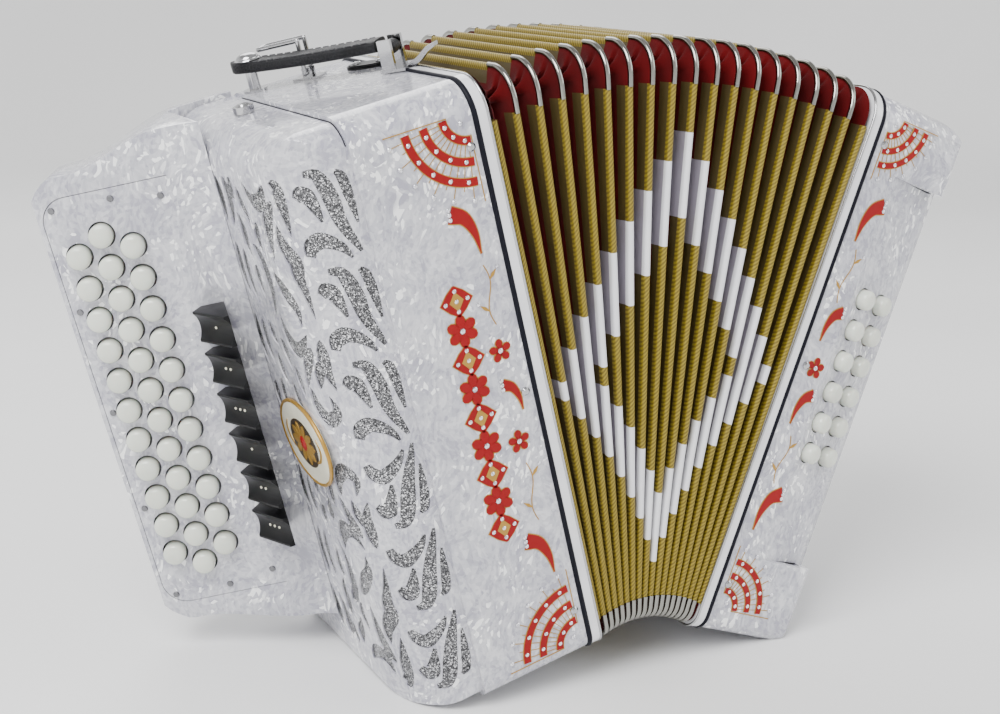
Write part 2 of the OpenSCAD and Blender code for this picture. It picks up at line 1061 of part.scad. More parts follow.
// The two chrome loops the hand strap runs through.
module hand_strap_brackets() {
    color(chrome)
    bass_frame()
    for (z = [-117, 107]) {
        difference() {
            translate([bass_w, hand_strap_y - 4, casing_h / 2 + z])
                cube([19, hand_strap_w + 8, 10]);
            translate([bass_w + 8.6, hand_strap_y - 0.4, casing_h / 2 + z - 1])
                cube([8, hand_strap_w + 0.8, 12]);
        }
    }
}

// The knurled wheel that tightens the hand strap.
module hand_strap_adjuster() {
    color(chrome)
    bass_frame()
    translate([bass_w + 8.5, hand_strap_y + hand_strap_w / 2, casing_h / 2 + 117.4]) {
        cylinder(d = 14, h = 5);
        translate([0, 0, 5])
            cylinder(d1 = 9, d2 = 7, h = 2);
    }
}

module air_button() {
    color(ivory)
    bass_frame()
    translate([bass_w - 4, air_at[0], air_at[1]])
        rotate([0, 90, 0]) {
            cylinder(d = air_button_d, h = 10);
            translate([0, 0, 10])
                cylinder(d1 = air_button_d, d2 = air_button_d - 4, h = 1.6);
        }
}

treble_casing();
treble_reed_blocks();
treble_bellows_frame();
treble_gasket();
treble_bellows_pins();
grille_cover();
grille_screen();
grille_badge();
grille_thumbscrews();
fingerboard();
button_plate();
plate_screws();
treble_buttons_outer();
treble_buttons_middle();
treble_buttons_inner();
register_rail();
register_switch(1);  // register_switch_1
register_switch(2);  // register_switch_2
register_switch(3);  // register_switch_3
register_switch(4);  // register_switch_4
register_switch(5);  // register_switch_5
register_switch(6);  // register_switch_6
strap_clip();
strap_bracket();
strap_parking_stud();
strap_loop();
bellows_strap();
lower_strap_loop();
fold_01();
fold_02();
fold_03();
fold_04();
fold_05();
fold_06();
fold_07();
fold_08();
fold_09();
fold_10();
fold_11();
fold_12();
fold_13();
fold_14();
fold_15();
fold_16();
fold_17();
bass_casing();
bass_reed_block();
bass_bellows_frame();
bass_gasket();
bass_bellows_pins();
bass_buttons_front();
bass_buttons_end();
hand_strap();
hand_strap_brackets();
hand_strap_adjuster();
air_button();
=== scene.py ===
"""Looks of the button accordion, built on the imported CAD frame.

Every piece is drawn in millimetres in one of the instrument's own frames and
placed in the world by that frame's matrix.
"""
from bisect import bisect
from math import asin, atan, atan2, copysign, cos, degrees, exp, hypot, pi, radians, sin, sqrt

import bmesh
import bpy
from mathutils import Matrix, Vector
from mathutils.geometry import delaunay_2d_cdt


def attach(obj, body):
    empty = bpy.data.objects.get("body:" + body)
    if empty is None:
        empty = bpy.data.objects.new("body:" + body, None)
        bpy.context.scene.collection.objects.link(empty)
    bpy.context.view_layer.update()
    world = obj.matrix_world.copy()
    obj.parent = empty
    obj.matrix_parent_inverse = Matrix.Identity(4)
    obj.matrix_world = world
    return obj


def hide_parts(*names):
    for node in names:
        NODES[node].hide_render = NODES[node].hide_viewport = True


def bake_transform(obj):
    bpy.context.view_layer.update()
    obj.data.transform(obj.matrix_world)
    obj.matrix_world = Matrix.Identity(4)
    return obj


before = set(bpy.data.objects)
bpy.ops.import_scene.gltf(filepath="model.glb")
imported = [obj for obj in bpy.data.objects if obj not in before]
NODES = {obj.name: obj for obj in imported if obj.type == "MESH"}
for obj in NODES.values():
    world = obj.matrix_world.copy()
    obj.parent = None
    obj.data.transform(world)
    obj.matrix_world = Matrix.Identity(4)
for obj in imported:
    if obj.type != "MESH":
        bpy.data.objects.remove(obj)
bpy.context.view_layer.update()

# ---- sizes, mm
CASING_H = 322
CASING_D = 168
EDGE_R = 18
LOW_R = 9
TREBLE_W = 66
BASS_W = 68
GAP = 70
FOLDS = 17
OPEN_ANGLE = 34.6
HINGE = Vector((35, 0, -13.7))
FOLD_FIRST = 8
FOLD_ZONE = 54
FIRST_SHARE = 0.01125
FOLD_SHARE = 0.0543
CORNER_REACH = 23
LOW_REACH = 15
COVER_OUT = 38
COVER_TURN = 52
COVER_BACK = 160
COVER_STEP = 2.4
LEAN = 13.980922
ROW_PITCH = 14.7
BUTTON_PITCH = 18
BASS_BUTTON_TOP = 209
BASS_BUTTON_PITCH = 18.8
BASS_BUTTON_R = 5.9
SWITCH_TOP = 41.4
SWITCH_PITCH = 24
HAND_STRAP_BOW = 420
HAND_STRAP_OUT = 30

# ---- placements


def shift(x, y, z):
    return Matrix.Translation((x, y, z))


def turn(angle, axis):
    return Matrix.Rotation(radians(angle), 4, axis)


def fan(angle):
    """Turns about the line that the folds and the bass body share."""
    return Matrix.Translation(HINGE) @ turn(angle, "Y") @ Matrix.Translation(-HINGE)


TREBLE = Matrix.Scale(0.001, 4) @ shift(0.634, -89.49, 21.949473) @ turn(-LEAN, "Y")
BASS = TREBLE @ fan(OPEN_ANGLE) @ shift(GAP, 0, 0)
PLATE = TREBLE @ shift(-161.6, 138.5, 174.6) @ turn(-26.5, "Z")
PANEL = BASS @ shift(20, 0, 0) @ turn(degrees(atan(0.30)), "Z")
STRAP = TREBLE @ shift(-1, 80, 334) @ turn(degrees(atan2(67, -65)), "Z")

# ---- materials


class Graph:
    """A material being built: a Principled shader and the nodes that feed it."""

    def __init__(self, name, color, roughness, **sockets):
        self.material = bpy.data.materials.new(name)
        self.material.use_nodes = True
        self.tree = self.material.node_tree
        self.shader = self.tree.nodes["Principled BSDF"]
        self.coords = None
        self.put("Base Color", (*color, 1.0))
        self.put("Roughness", roughness)
        for socket, value in sockets.items():
            self.put(socket.replace("_", " "), value)

    def put(self, socket, value):
        self.shader.inputs[socket].default_value = value

    def node(self, kind, inputs=None, **settings):
        made = self.tree.nodes.new("ShaderNode" + kind)
        for name, value in settings.items():
            setattr(made, name, value)
        for name, value in (inputs or {}).items():
            if isinstance(value, bpy.types.NodeSocket):
                self.tree.links.new(value, made.inputs[name])
            else:
                made.inputs[name].default_value = value
        return made

    def place(self, kind="Object"):
        if self.coords is None:
            self.coords = self.node("TexCoord")
        return self.coords.outputs[kind]

    def stretched(self, vector, scale, rotation=(0, 0, 0)):
        mapping = self.node("Mapping", {"Vector": vector, "Scale": scale, "Rotation": rotation})
        return mapping.outputs["Vector"]

    def noise(self, scale, detail=3, vector=None, distortion=0.0, out="Fac"):
        made = self.node("TexNoise", {"Vector": vector or self.place(), "Scale": scale, "Detail": detail,
                                      "Distortion": distortion})
        return made.outputs[out]

    def cell_edges(self, scale):
        """Distance to the nearest edge of a pattern of cells."""
        made = self.node("TexVoronoi", {"Vector": self.place(), "Scale": scale}, feature="DISTANCE_TO_EDGE")
        return made.outputs["Distance"]

    def cell_values(self, scale, vector=None):
        """One random value for each cell."""
        cells = self.node("TexVoronoi", {"Vector": vector or self.place(), "Scale": scale})
        return self.node("SeparateColor", {"Color": cells.outputs["Color"]}).outputs[0]

    def wave(self, scale, vector, distortion=0.0, direction="X"):
        made = self.node("TexWave", {"Vector": vector, "Scale": scale, "Distortion": distortion,
                                     "Detail": 1.0}, bands_direction=direction)
        return made.outputs["Fac"]

    def ramp(self, value, *stops):
        made = self.node("ValToRGB", {"Fac": value})
        elements = made.color_ramp.elements
        while len(elements) < len(stops):
            elements.new(0.5)
        for element, (position, color) in zip(elements, stops):
            element.position = position
            element.color = (*color, 1.0)
        return made.outputs["Color"]

    def grey(self, value, low, high, start=0.0, end=1.0):
        made = self.node("MapRange", {"Value": value, "From Min": start, "From Max": end,
                                      "To Min": low, "To Max": high})
        return made.outputs["Result"]

    def mix(self, factor, a, b):
        return self.node("MixRGB", {"Fac": factor, "Color1": a, "Color2": b}).outputs["Color"]

    def math(self, operation, a, b):
        return self.node("Math", {0: a, 1: b}, operation=operation).outputs[0]

    def color(self, value):
        self.tree.links.new(value, self.shader.inputs["Base Color"])

    def rough(self, value):
        self.tree.links.new(value, self.shader.inputs["Roughness"])

    def bump(self, height, strength, distance, onto=None):
        inputs = {"Height": height, "Strength": strength, "Distance": distance}
        if onto is not None:
            inputs["Normal"] = onto
        made = self.node("Bump", inputs)
        self.tree.links.new(made.outputs["Normal"], self.shader.inputs["Normal"])
        return made.outputs["Normal"]


def pearl_material(name, tint):
    """Mother-of-pearl celluloid under a clear polish: lavender clouds and flakes, with sharp white glints
    painted into the base colour as painted highlights.
    """
    g = Graph(name, tint, 0.22, Coat_Weight=0.8, Coat_Roughness=0.04, Specular_IOR_Level=0.5)
    warp = g.noise(30, 2, out="Color")
    swirl = g.node("VectorMath", {0: warp, 1: (0.022, 0.022, 0.022)}, operation="MULTIPLY").outputs[0]
    bent = g.node("VectorMath", {0: g.place(), 1: swirl}, operation="ADD").outputs[0]
    shards = []
    for scale, rotation in (((1.0, 0.34, 0.8), (0.5, 0.7, 0.4)), ((0.8, 1.0, 0.32), (1.1, 0.2, 0.9))):
        shards.append(g.cell_values(600, g.stretched(bent, scale, rotation)))
    cloud = g.noise(42, 6, bent, 0.8)
    flake = g.math("ADD", g.math("MULTIPLY", shards[0], 0.20), g.math("MULTIPLY", shards[1], 0.20))
    shade = g.math("ADD", flake, g.math("MULTIPLY", cloud, 0.64))
    base = g.ramp(shade, (0.36, (0.34, 0.335, 0.40)), (0.48, (0.45, 0.45, 0.50)),
                  (0.58, (0.53, 0.53, 0.57)), (0.72, (0.64, 0.64, 0.67)))
    patch = g.grey(g.noise(26, 2), -0.10, 0.06, 0.35, 0.65)
    bright = g.math("ADD", g.math("MAXIMUM", *shards), patch)
    # painted highlights: the brightest flakes are turned white in the base colour
    glint = g.ramp(bright, (0.945, (0, 0, 0)), (0.975, (1, 1, 1)))
    g.color(g.mix(g.math("MULTIPLY", glint, 0.9), base, (1, 1, 1, 1)))
    g.rough(g.grey(cloud, 0.28, 0.15, 0.3, 0.7))
    g.bump(g.noise(9, 2), 0.05, 0.002)
    return g.material


def plain(name, color, roughness, grain=0.0, scale=400, **sockets):
    """A moulded or cast surface with a slight mottle and a fine grain."""
    g = Graph(name, color, roughness, **sockets)
    mottle = g.noise(scale * 0.12, 3)
    dark = tuple(c * 0.86 for c in color)
    g.color(g.mix(g.grey(mottle, 0, 1, 0.3, 0.7), (*color, 1.0), (*dark, 1.0)))
    g.rough(g.grey(g.noise(scale * 0.3, 4), roughness * 0.8, min(1.0, roughness * 1.25)))
    if grain:
        g.bump(g.noise(scale, 3), grain, 0.0004)
    return g.material


def chrome_material(name, color):
    """Polished plating, faintly smeared by handling."""
    g = Graph(name, color, 0.10, Metallic=1.0)
    g.rough(g.grey(g.noise(55, 5), 0.05, 0.20, 0.3, 0.7))
    g.bump(g.noise(900, 2), 0.03, 0.0001)
    return g.material


def braid_material():
    """Gold braid on the ridges: a twisted rope with a fine chain of threads across it."""
    g = Graph("gold_braid", (0.27, 0.19, 0.02), 0.45, Metallic=0.15, Sheen_Weight=0.05)
    rope = g.wave(0.19, g.stretched(g.place("UV"), (1.0, 0.8, 1.0), (0, 0, 0.8)), 0.8)
    fine = g.wave(0.7, g.place("UV"), 0.2)
    tone = g.ramp(rope, (0.05, (0.125, 0.084, 0.0025)), (0.45, (0.20, 0.142, 0.005)),
                  (0.95, (0.31, 0.235, 0.012)))
    g.color(g.mix(g.math("MULTIPLY", fine, 0.25), tone, (0.13, 0.085, 0.008, 1.0)))
    g.rough(g.grey(rope, 0.60, 0.40))
    g.bump(g.math("ADD", rope, g.math("MULTIPLY", fine, 0.3)), 0.4, 0.0003)
    return g.material


def tape_material(name, light, dark, sheen=0.2):
    """Woven tape: ribs across the run and a fine thread along it."""
    g = Graph(name, light, 0.55, Sheen_Weight=sheen)
    ribs = g.wave(0.65, g.place("UV"))
    thread = g.wave(1.4, g.place("UV"), direction="Y")
    cloud = g.noise(40, 3)
    tone = g.mix(g.math("MULTIPLY", ribs, 0.45), (*light, 1.0), (*dark, 1.0))
    g.color(g.mix(g.grey(cloud, 0, 0.35, 0.35, 0.7), tone, (*dark, 1.0)))
    g.bump(g.math("ADD", ribs, g.math("MULTIPLY", thread, 0.5)), 0.35, 0.0003)
    return g.material


def cloth_material():
    """Red gusset cloth: a tight plain weave, a little worn in random patches."""
    g = Graph("red_cloth", (0.20, 0.004, 0.009), 0.85, Sheen_Weight=0.04, Specular_IOR_Level=0.12)
    warp = g.wave(0.9, g.place("UV"), 0.3)
    weft = g.wave(0.9, g.place("UV"), 0.3, "Y")
    wear = g.noise(25, 5)
    g.color(g.ramp(wear, (0.3, (0.045, 0.0004, 0.001)), (0.7, (0.105, 0.0006, 0.002))))
    g.bump(g.math("ADD", warp, weft), 0.3, 0.0002)
    return g.material


def glitter_material():
    """Silver glitter cloth behind the fretwork."""
    g = Graph("glitter", (0.5, 0.5, 0.52), 0.45, Metallic=0.6)
    value = g.cell_values(1900)
    g.color(g.ramp(value, (0.0, (0.035, 0.035, 0.038)), (0.55, (0.12, 0.12, 0.125)),
                   (0.82, (0.30, 0.30, 0.31)), (0.94, (0.98, 0.98, 1.0))))
    g.rough(g.grey(value, 0.7, 0.2))
    g.bump(value, 0.8, 0.0005)
    return g.material


def leather_material():
    """Black grained leather with polished high spots."""
    g = Graph("leather", (0.012, 0.012, 0.013), 0.5, Specular_IOR_Level=0.22)
    pores = g.cell_edges(620)
    creases = g.noise(60, 5)
    g.color(g.ramp(creases, (0.3, (0.005, 0.005, 0.006)), (0.75, (0.018, 0.018, 0.020))))
    g.rough(g.grey(creases, 0.32, 0.55, 0.3, 0.7))
    first = g.bump(g.math("MINIMUM", pores, 0.08), 0.7, 0.004)
    g.bump(creases, 0.15, 0.001, first)
    return g.material


def wood_material():
    """Bare spruce with its grain along the blocks."""
    g = Graph("wood", (0.55, 0.36, 0.18), 0.6)
    rings = g.wave(14, g.stretched(g.place(), (6.0, 6.0, 0.5)), 5.0)
    g.color(g.ramp(rings, (0.1, (0.42, 0.25, 0.11)), (0.9, (0.66, 0.47, 0.27))))
    g.bump(rings, 0.2, 0.0004)
    return g.material


def gem_material():
    """Cut crystal on a foil back."""
    g = Graph("gem", (0.93, 0.94, 0.97), 0.06, Metallic=0.85, Coat_Weight=1.0, Coat_Roughness=0.02)
    facets = g.cell_values(1400)
    g.color(g.ramp(facets, (0.0, (0.45, 0.45, 0.52)), (0.6, (0.90, 0.90, 0.94)), (1.0, (1, 1, 1))))
    return g.material


PEARL = pearl_material("pearl", (0.8, 0.8, 0.84))
CHROME = chrome_material("chrome", (0.48, 0.48, 0.49))
NICKEL = chrome_material("nickel", (0.30, 0.295, 0.27))
WHITE = plain("white_plastic", (0.82, 0.82, 0.84), 0.20, 0.03, Coat_Weight=0.5, Coat_Roughness=0.06)
IVORY = plain("ivory", (0.72, 0.74, 0.65), 0.16, 0.02, Coat_Weight=0.5, Coat_Roughness=0.05,
              Subsurface_Weight=0.05)
STEEL = plain("steel", (0.20, 0.20, 0.21), 0.34, 0.05, Metallic=0.9)
BLACK = plain("black_gloss", (0.004, 0.004, 0.005), 0.36, 0.03, Specular_IOR_Level=0.18)
RUBBER = plain("rubber", (0.004, 0.004, 0.009), 0.5, 0.15, Specular_IOR_Level=0.15)
BRAID = braid_material()
# Painted shade: the flank gold is a darkened copy of the braid gold, for flanks that face away from the
# light.
SHADED_GOLD_FLANK = tape_material("shaded_gold_flank", (0.060, 0.040, 0.004), (0.036, 0.023, 0.002), 0.03)
WHITE_TAPE = tape_material("white_tape", (0.86, 0.86, 0.88), (0.70, 0.70, 0.74), 0.1)
# Painted shade: the white card darkened to a lilac grey, for the flanks beside the white tape that lie in
# shade.
SHADED_WHITE_CARD = tape_material("shaded_white_card", (0.27, 0.245, 0.29), (0.22, 0.20, 0.24), 0.03)
CLOTH = cloth_material()
GLITTER = glitter_material()
LEATHER = leather_material()
WOOD = wood_material()
GEM = gem_material()
RED_ENAMEL = plain("red_enamel", (0.27, 0.0006, 0.002), 0.42, 0.05, Specular_IOR_Level=0.25)
GOLD_PAINT = plain("gold_paint", (0.44, 0.25, 0.045), 0.34, 0.10, Metallic=0.55)
BROWN_ENAMEL = plain("brown_enamel", (0.030, 0.018, 0.008), 0.30, 0.03)
CREAM = plain("cream_enamel", (0.86, 0.83, 0.66), 0.20, 0.03, Coat_Weight=0.6, Coat_Roughness=0.06)
THREAD = plain("thread", (0.05, 0.05, 0.055), 0.7, 0.4, scale=1500)
FLOOR = plain("floor", (0.93, 0.93, 0.93), 0.55, scale=6)

# ---- geometry


def new_object(name, data):
    made = bpy.data.objects.new(name, data)
    bpy.context.scene.collection.objects.link(made)
    return made


class Shape:
    """Vertices and faces gathered from several parts, with a material index and UVs per face."""

    def __init__(self):
        self.verts = []
        self.faces = []
        self.slots = []
        self.uvs = []

    def add(self, part, slot=0, at=Matrix.Identity(4)):
        """Adds (vertices, faces) or (vertices, faces, UVs); slot is one number or one for each face."""
        verts, faces = part[:2]
        flat = part[2] if len(part) > 2 else [(v[0], v[1]) for v in verts]
        base = len(self.verts)
        self.verts += [at @ Vector(v) for v in verts]
        for n, face in enumerate(faces):
            self.faces.append([base + i for i in face])
            self.slots.append(slot[n] if isinstance(slot, list) else slot)
            self.uvs.append([flat[i] for i in face])
        return self

    def build(self, name, frame_matrix, materials, smooth=40):
        mesh = bpy.data.meshes.new(name)
        mesh.from_pydata([frame_matrix @ v for v in self.verts], [], self.faces)
        for material in materials:
            mesh.materials.append(material)
        layer = mesh.uv_layers.new(name="UVMap")
        for polygon, slot, uvs in zip(mesh.polygons, self.slots, self.uvs):
            polygon.material_index = slot
            for loop, uv in zip(polygon.loop_indices, uvs):
                layer.data[loop].uv = uv
        mesh.validate()
        if smooth:
            mesh.shade_smooth()
            mesh.set_sharp_from_angle(angle=radians(smooth))
        return new_object(name, mesh)


def ring_faces(rings, sides, first=0, closed=False):
    """Quads between rings of points that are numbered in order from first."""
    faces = []
    for n in range(rings if closed else rings - 1):
        a = first + n * sides
        b = first + (n + 1) % rings * sides
        for k in range(sides):
            j = (k + 1) % sides
            faces.append((a + k, a + j, b + j, b + k))
    return faces


def end_caps(rings, sides):
    return [tuple(reversed(range(sides))), tuple(range((rings - 1) * sides, rings * sides))]


def tube(points, radius, sides=10, closed=False):
    """A round rod along points, as vertices, faces and UVs in millimetres."""
    path = [Vector(p) for p in points]
    count = len(path)
    verts, uvs = [], []
    run = 0.0
    side = None
    for n, p in enumerate(path):
        before = path[n - 1] if n or closed else p
        after = path[(n + 1) % count] if n < count - 1 or closed else p
        along = (after - before).normalized()
        if side is None:
            side = along.orthogonal().normalized()
        side = (side - along * side.dot(along)).normalized()
        up = along.cross(side)
        if n:
            run += (p - path[n - 1]).length
        for k in range(sides):
            a = 2 * pi * k / sides
            verts.append(p + (side * cos(a) + up * sin(a)) * radius)
            uvs.append((run, a * radius))
    faces = ring_faces(count, sides, closed=closed)
    return verts, faces if closed else faces + end_caps(count, sides), uvs


def lathe(profile, sides=32):
    """A body of revolution about z from (radius, z) pairs, closed at both ends."""
    angles = [2 * pi * k / sides for k in range(sides)]
    verts = [(0, 0, profile[0][1])]
    verts += [(r * cos(a), r * sin(a), z) for r, z in profile for a in angles]
    verts.append((0, 0, profile[-1][1]))
    faces = ring_faces(len(profile), sides, 1)
    last = 1 + (len(profile) - 1) * sides
    for k in range(sides):
        j = (k + 1) % sides
        faces += [(0, 1 + j, 1 + k), (last + k, last + j, len(verts) - 1)]
    return verts, faces


def slab(outline, low, high):
    """A flat plate between two heights from an outline of (x, y) points."""
    count = len(outline)
    verts = [(x, y, low) for x, y in outline] + [(x, y, high) for x, y in outline]
    faces = [tuple(reversed(range(count))), tuple(range(count, 2 * count))]
    for k in range(count):
        j = (k + 1) % count
        faces.append((k, j, count + j, count + k))
    return verts, faces


def settle(obj, smooth):
    """Applies the modifiers, then marks the edges sharper than an angle."""
    graph = bpy.context.evaluated_depsgraph_get()
    mesh = bpy.data.meshes.new_from_object(obj.evaluated_get(graph))
    obj.modifiers.clear()
    obj.data = mesh
    mesh.shade_smooth()
    mesh.set_sharp_from_angle(angle=radians(smooth))


# ---- camera, light, floor


def set_stage():
    camera = bpy.data.cameras.new("camera")
    camera.sensor_width = 36
    camera.lens = 56.4
    holder = new_object("camera", camera)
    holder.location = (-0.41452921, -0.76878, 0.39962174)
    holder.rotation_euler = [radians(a) for a in (75.1233001, -0.4264605, -27.6027823)]
    bpy.context.scene.camera = holder

    # a floor that sweeps up into a pale wall well behind the instrument
    sweep = [radians(a) for a in range(10, 91, 10)]
    profile = [(1.0, 0.0), (1.9, 0.0)]
    profile += [(1.9 + 0.9 * sin(a), 0.9 - 0.9 * cos(a)) for a in sweep]
    profile.append((2.8, 2.6))
    verts, faces = lathe(profile, 72)
    faces = [f for f in faces if len(verts) - 1 not in f]
    floor = Shape().add((verts, faces)).build("floor", Matrix.Identity(4), [FLOOR], 80)

    world = bpy.data.worlds.new("studio")
    bpy.context.scene.world = world
    world.use_nodes = True
    background = world.node_tree.nodes["Background"]
    background.inputs["Color"].default_value = (1.0, 1.0, 1.0, 1.0)
    background.inputs["Strength"].default_value = 0.62
    for name, place, size, power, aim in (
            ("key", (-1.1, -0.7, 1.75), 1.3, 62, (0, 0, 0.1)),
            ("fill", (1.5, -1.3, 1.3), 1.4, 17, (0, 0, 0.15)),
            ("back", (0.3, 1.5, 1.6), 1.2, 16, (0, 0, 0.2))):
        light = bpy.data.lights.new(name, "AREA")
        light.size = size
        light.energy = power
        lamp = new_object(name, light)
        lamp.location = place
        lamp.rotation_euler = (Vector(aim) - Vector(place)).to_track_quat("-Z", "Y").to_euler()


set_stage()

# ---- bellows


def outline_point(corner, angle, depth):
    """A point of the shared outline's corner arc (angle 0 to 90), depth inward from it."""
    r = max((EDGE_R if corner < 2 else LOW_R) - depth, 1.0)
    y0 = depth + r
    y1 = CASING_D - depth - r
    z0 = depth + r
    z1 = CASING_H - depth - r
    cy, cz = ((y0, z1), (y1, z1), (y1, z0), (y0, z0))[corner]
    start = (180, 90, 0, -90)[corner]
    a = radians(start - angle)
    return cy + r * cos(a), cz + r * sin(a)


CORNER_STEPS = 18


def outline_stations(z_cuts):
    """Stations clockwise round the outline from the front's bottom.

    A straight station is ("front", z), ("top", y), ("back", z) or ("low", y); a
    corner station is (corner number, angle).
    """
    top = (CORNER_REACH, 64, 104, CASING_D - CORNER_REACH)
    back = (CASING_H - CORNER_REACH, 220, 160, 100, LOW_REACH)
    stations = [("front", z) for z in z_cuts]
    for corner, (kind, values) in enumerate((("top", top), ("back", back), ("low", top[::-1]), ("", ()))):
        stations += [(corner, 90 * k / CORNER_STEPS) for k in range(CORNER_STEPS + 1)]
        stations += [(kind, value) for value in values]
    return stations


def station_point(station, depth):
    """(y, z) of a station, depth inside the outline."""
    kind, value = station
    straight = {"front": (depth, value), "top": (value, CASING_H - depth),
                "back": (CASING_D - depth, value), "low": (value, depth)}
    return straight.get(kind) or outline_point(kind, value, depth)


def share(index):
    """The part of the opening angle that a fold takes; a fractional index lies between two."""
    return FIRST_SHARE + FOLD_SHARE * index


def fold_matrix(index):
    return TREBLE @ fan(OPEN_ANGLE * share(index)) @ shift(FOLD_FIRST + FOLD_ZONE * share(index), 0, 0)


def local_pitch(z):
    """Distance from one ridge to the next at height z, in the resting pose."""
    return FOLD_SHARE * (FOLD_ZONE + radians(OPEN_ANGLE) * (z - HINGE.z))


def diamond_spans(index):
    """Front-face spans (from, to) of white tape on a ridge, as fractions down the gold."""
    far = abs(index - MIDDLE_RIDGE)
    if far > 8:
        return []
    down, up = 0.052 * far, 0.048 * far
    outer = (0.09 + down, 0.927 - up)
    inner = (0.2486 + down, 0.7857 - up)
    if inner[1] - inner[0] < 0.02:
        return [outer]
    return [(outer[0], inner[0]), (inner[1], outer[1])]


MIDDLE_RIDGE = 9
GOLD_TOP = CASING_H - CORNER_REACH
GOLD_LOW = LOW_REACH
GOLD_LENGTH = GOLD_TOP - GOLD_LOW
# depth of the card below the outline, from the ridge (0) to the valley (0.5)
FLANK = [(0.0, 1.3), (0.07, 2.0), (0.13, 4.0), (0.24, 9.5), (0.33, 15.2), (0.42, 17.6), (0.5, 19.0)]
ACROSS = [-0.5, -0.44, -0.37, -0.30, -0.24, -0.18, -0.12, -0.07]
ACROSS = ACROSS + [0.0] + [-q for q in reversed(ACROSS)]


def along(table, x):
    """Straight-line lookup in a table of (x, y)."""
    n = min(max(bisect(table, (x, 1e9)) - 1, 0), len(table) - 2)
    (x0, y0), (x1, y1) = table[n], table[n + 1]
    return y0 + (y1 - y0) * (x - x0) / (x1 - x0)


def pleat_depth(station, q):
    """How deep the pleat lies at a station, q of the pitch away from its ridge."""
    depth = along(FLANK, abs(q))
    kind, angle = station
    if isinstance(kind, str):
        return depth
    rim = sin(radians(2 * angle)) ** 0.5 if 0 < angle < 90 else 0.0
    middle = 9.0 if kind < 2 else 12.0
    pillow = 1.6 + (middle - 1.6) * (1 - abs(2 * abs(q) - 1) ** 2.4)
    over = q if q >= 0 else 1 + q
    crease = 24 + 44 * over
    pillow += 9.5 * exp(-((angle - crease) / 5.5) ** 2) * sin(pi * over)
    return depth + (pillow - depth) * rim


CLOTH_SLOT, SHADED_GOLD_SLOT, BRAID_SLOT, SHADED_WHITE_SLOT, WHITE_SLOT = range(5)
PLEAT_MATERIALS = [CLOTH, SHADED_GOLD_FLANK, BRAID, SHADED_WHITE_CARD, WHITE_TAPE]


def pleat_frames(index):
    """Maps (pitch fraction, depth, station) of a ridge to the world."""
    cache = {}

    def point(q, depth, station):
        q = min(max(q, -index - 0.15), FOLDS + 1.15 - index)
        if q not in cache:
            cache[q] = fold_matrix(index + q)
        return cache[q] @ Vector((0, *station_point(station, depth)))

    return point


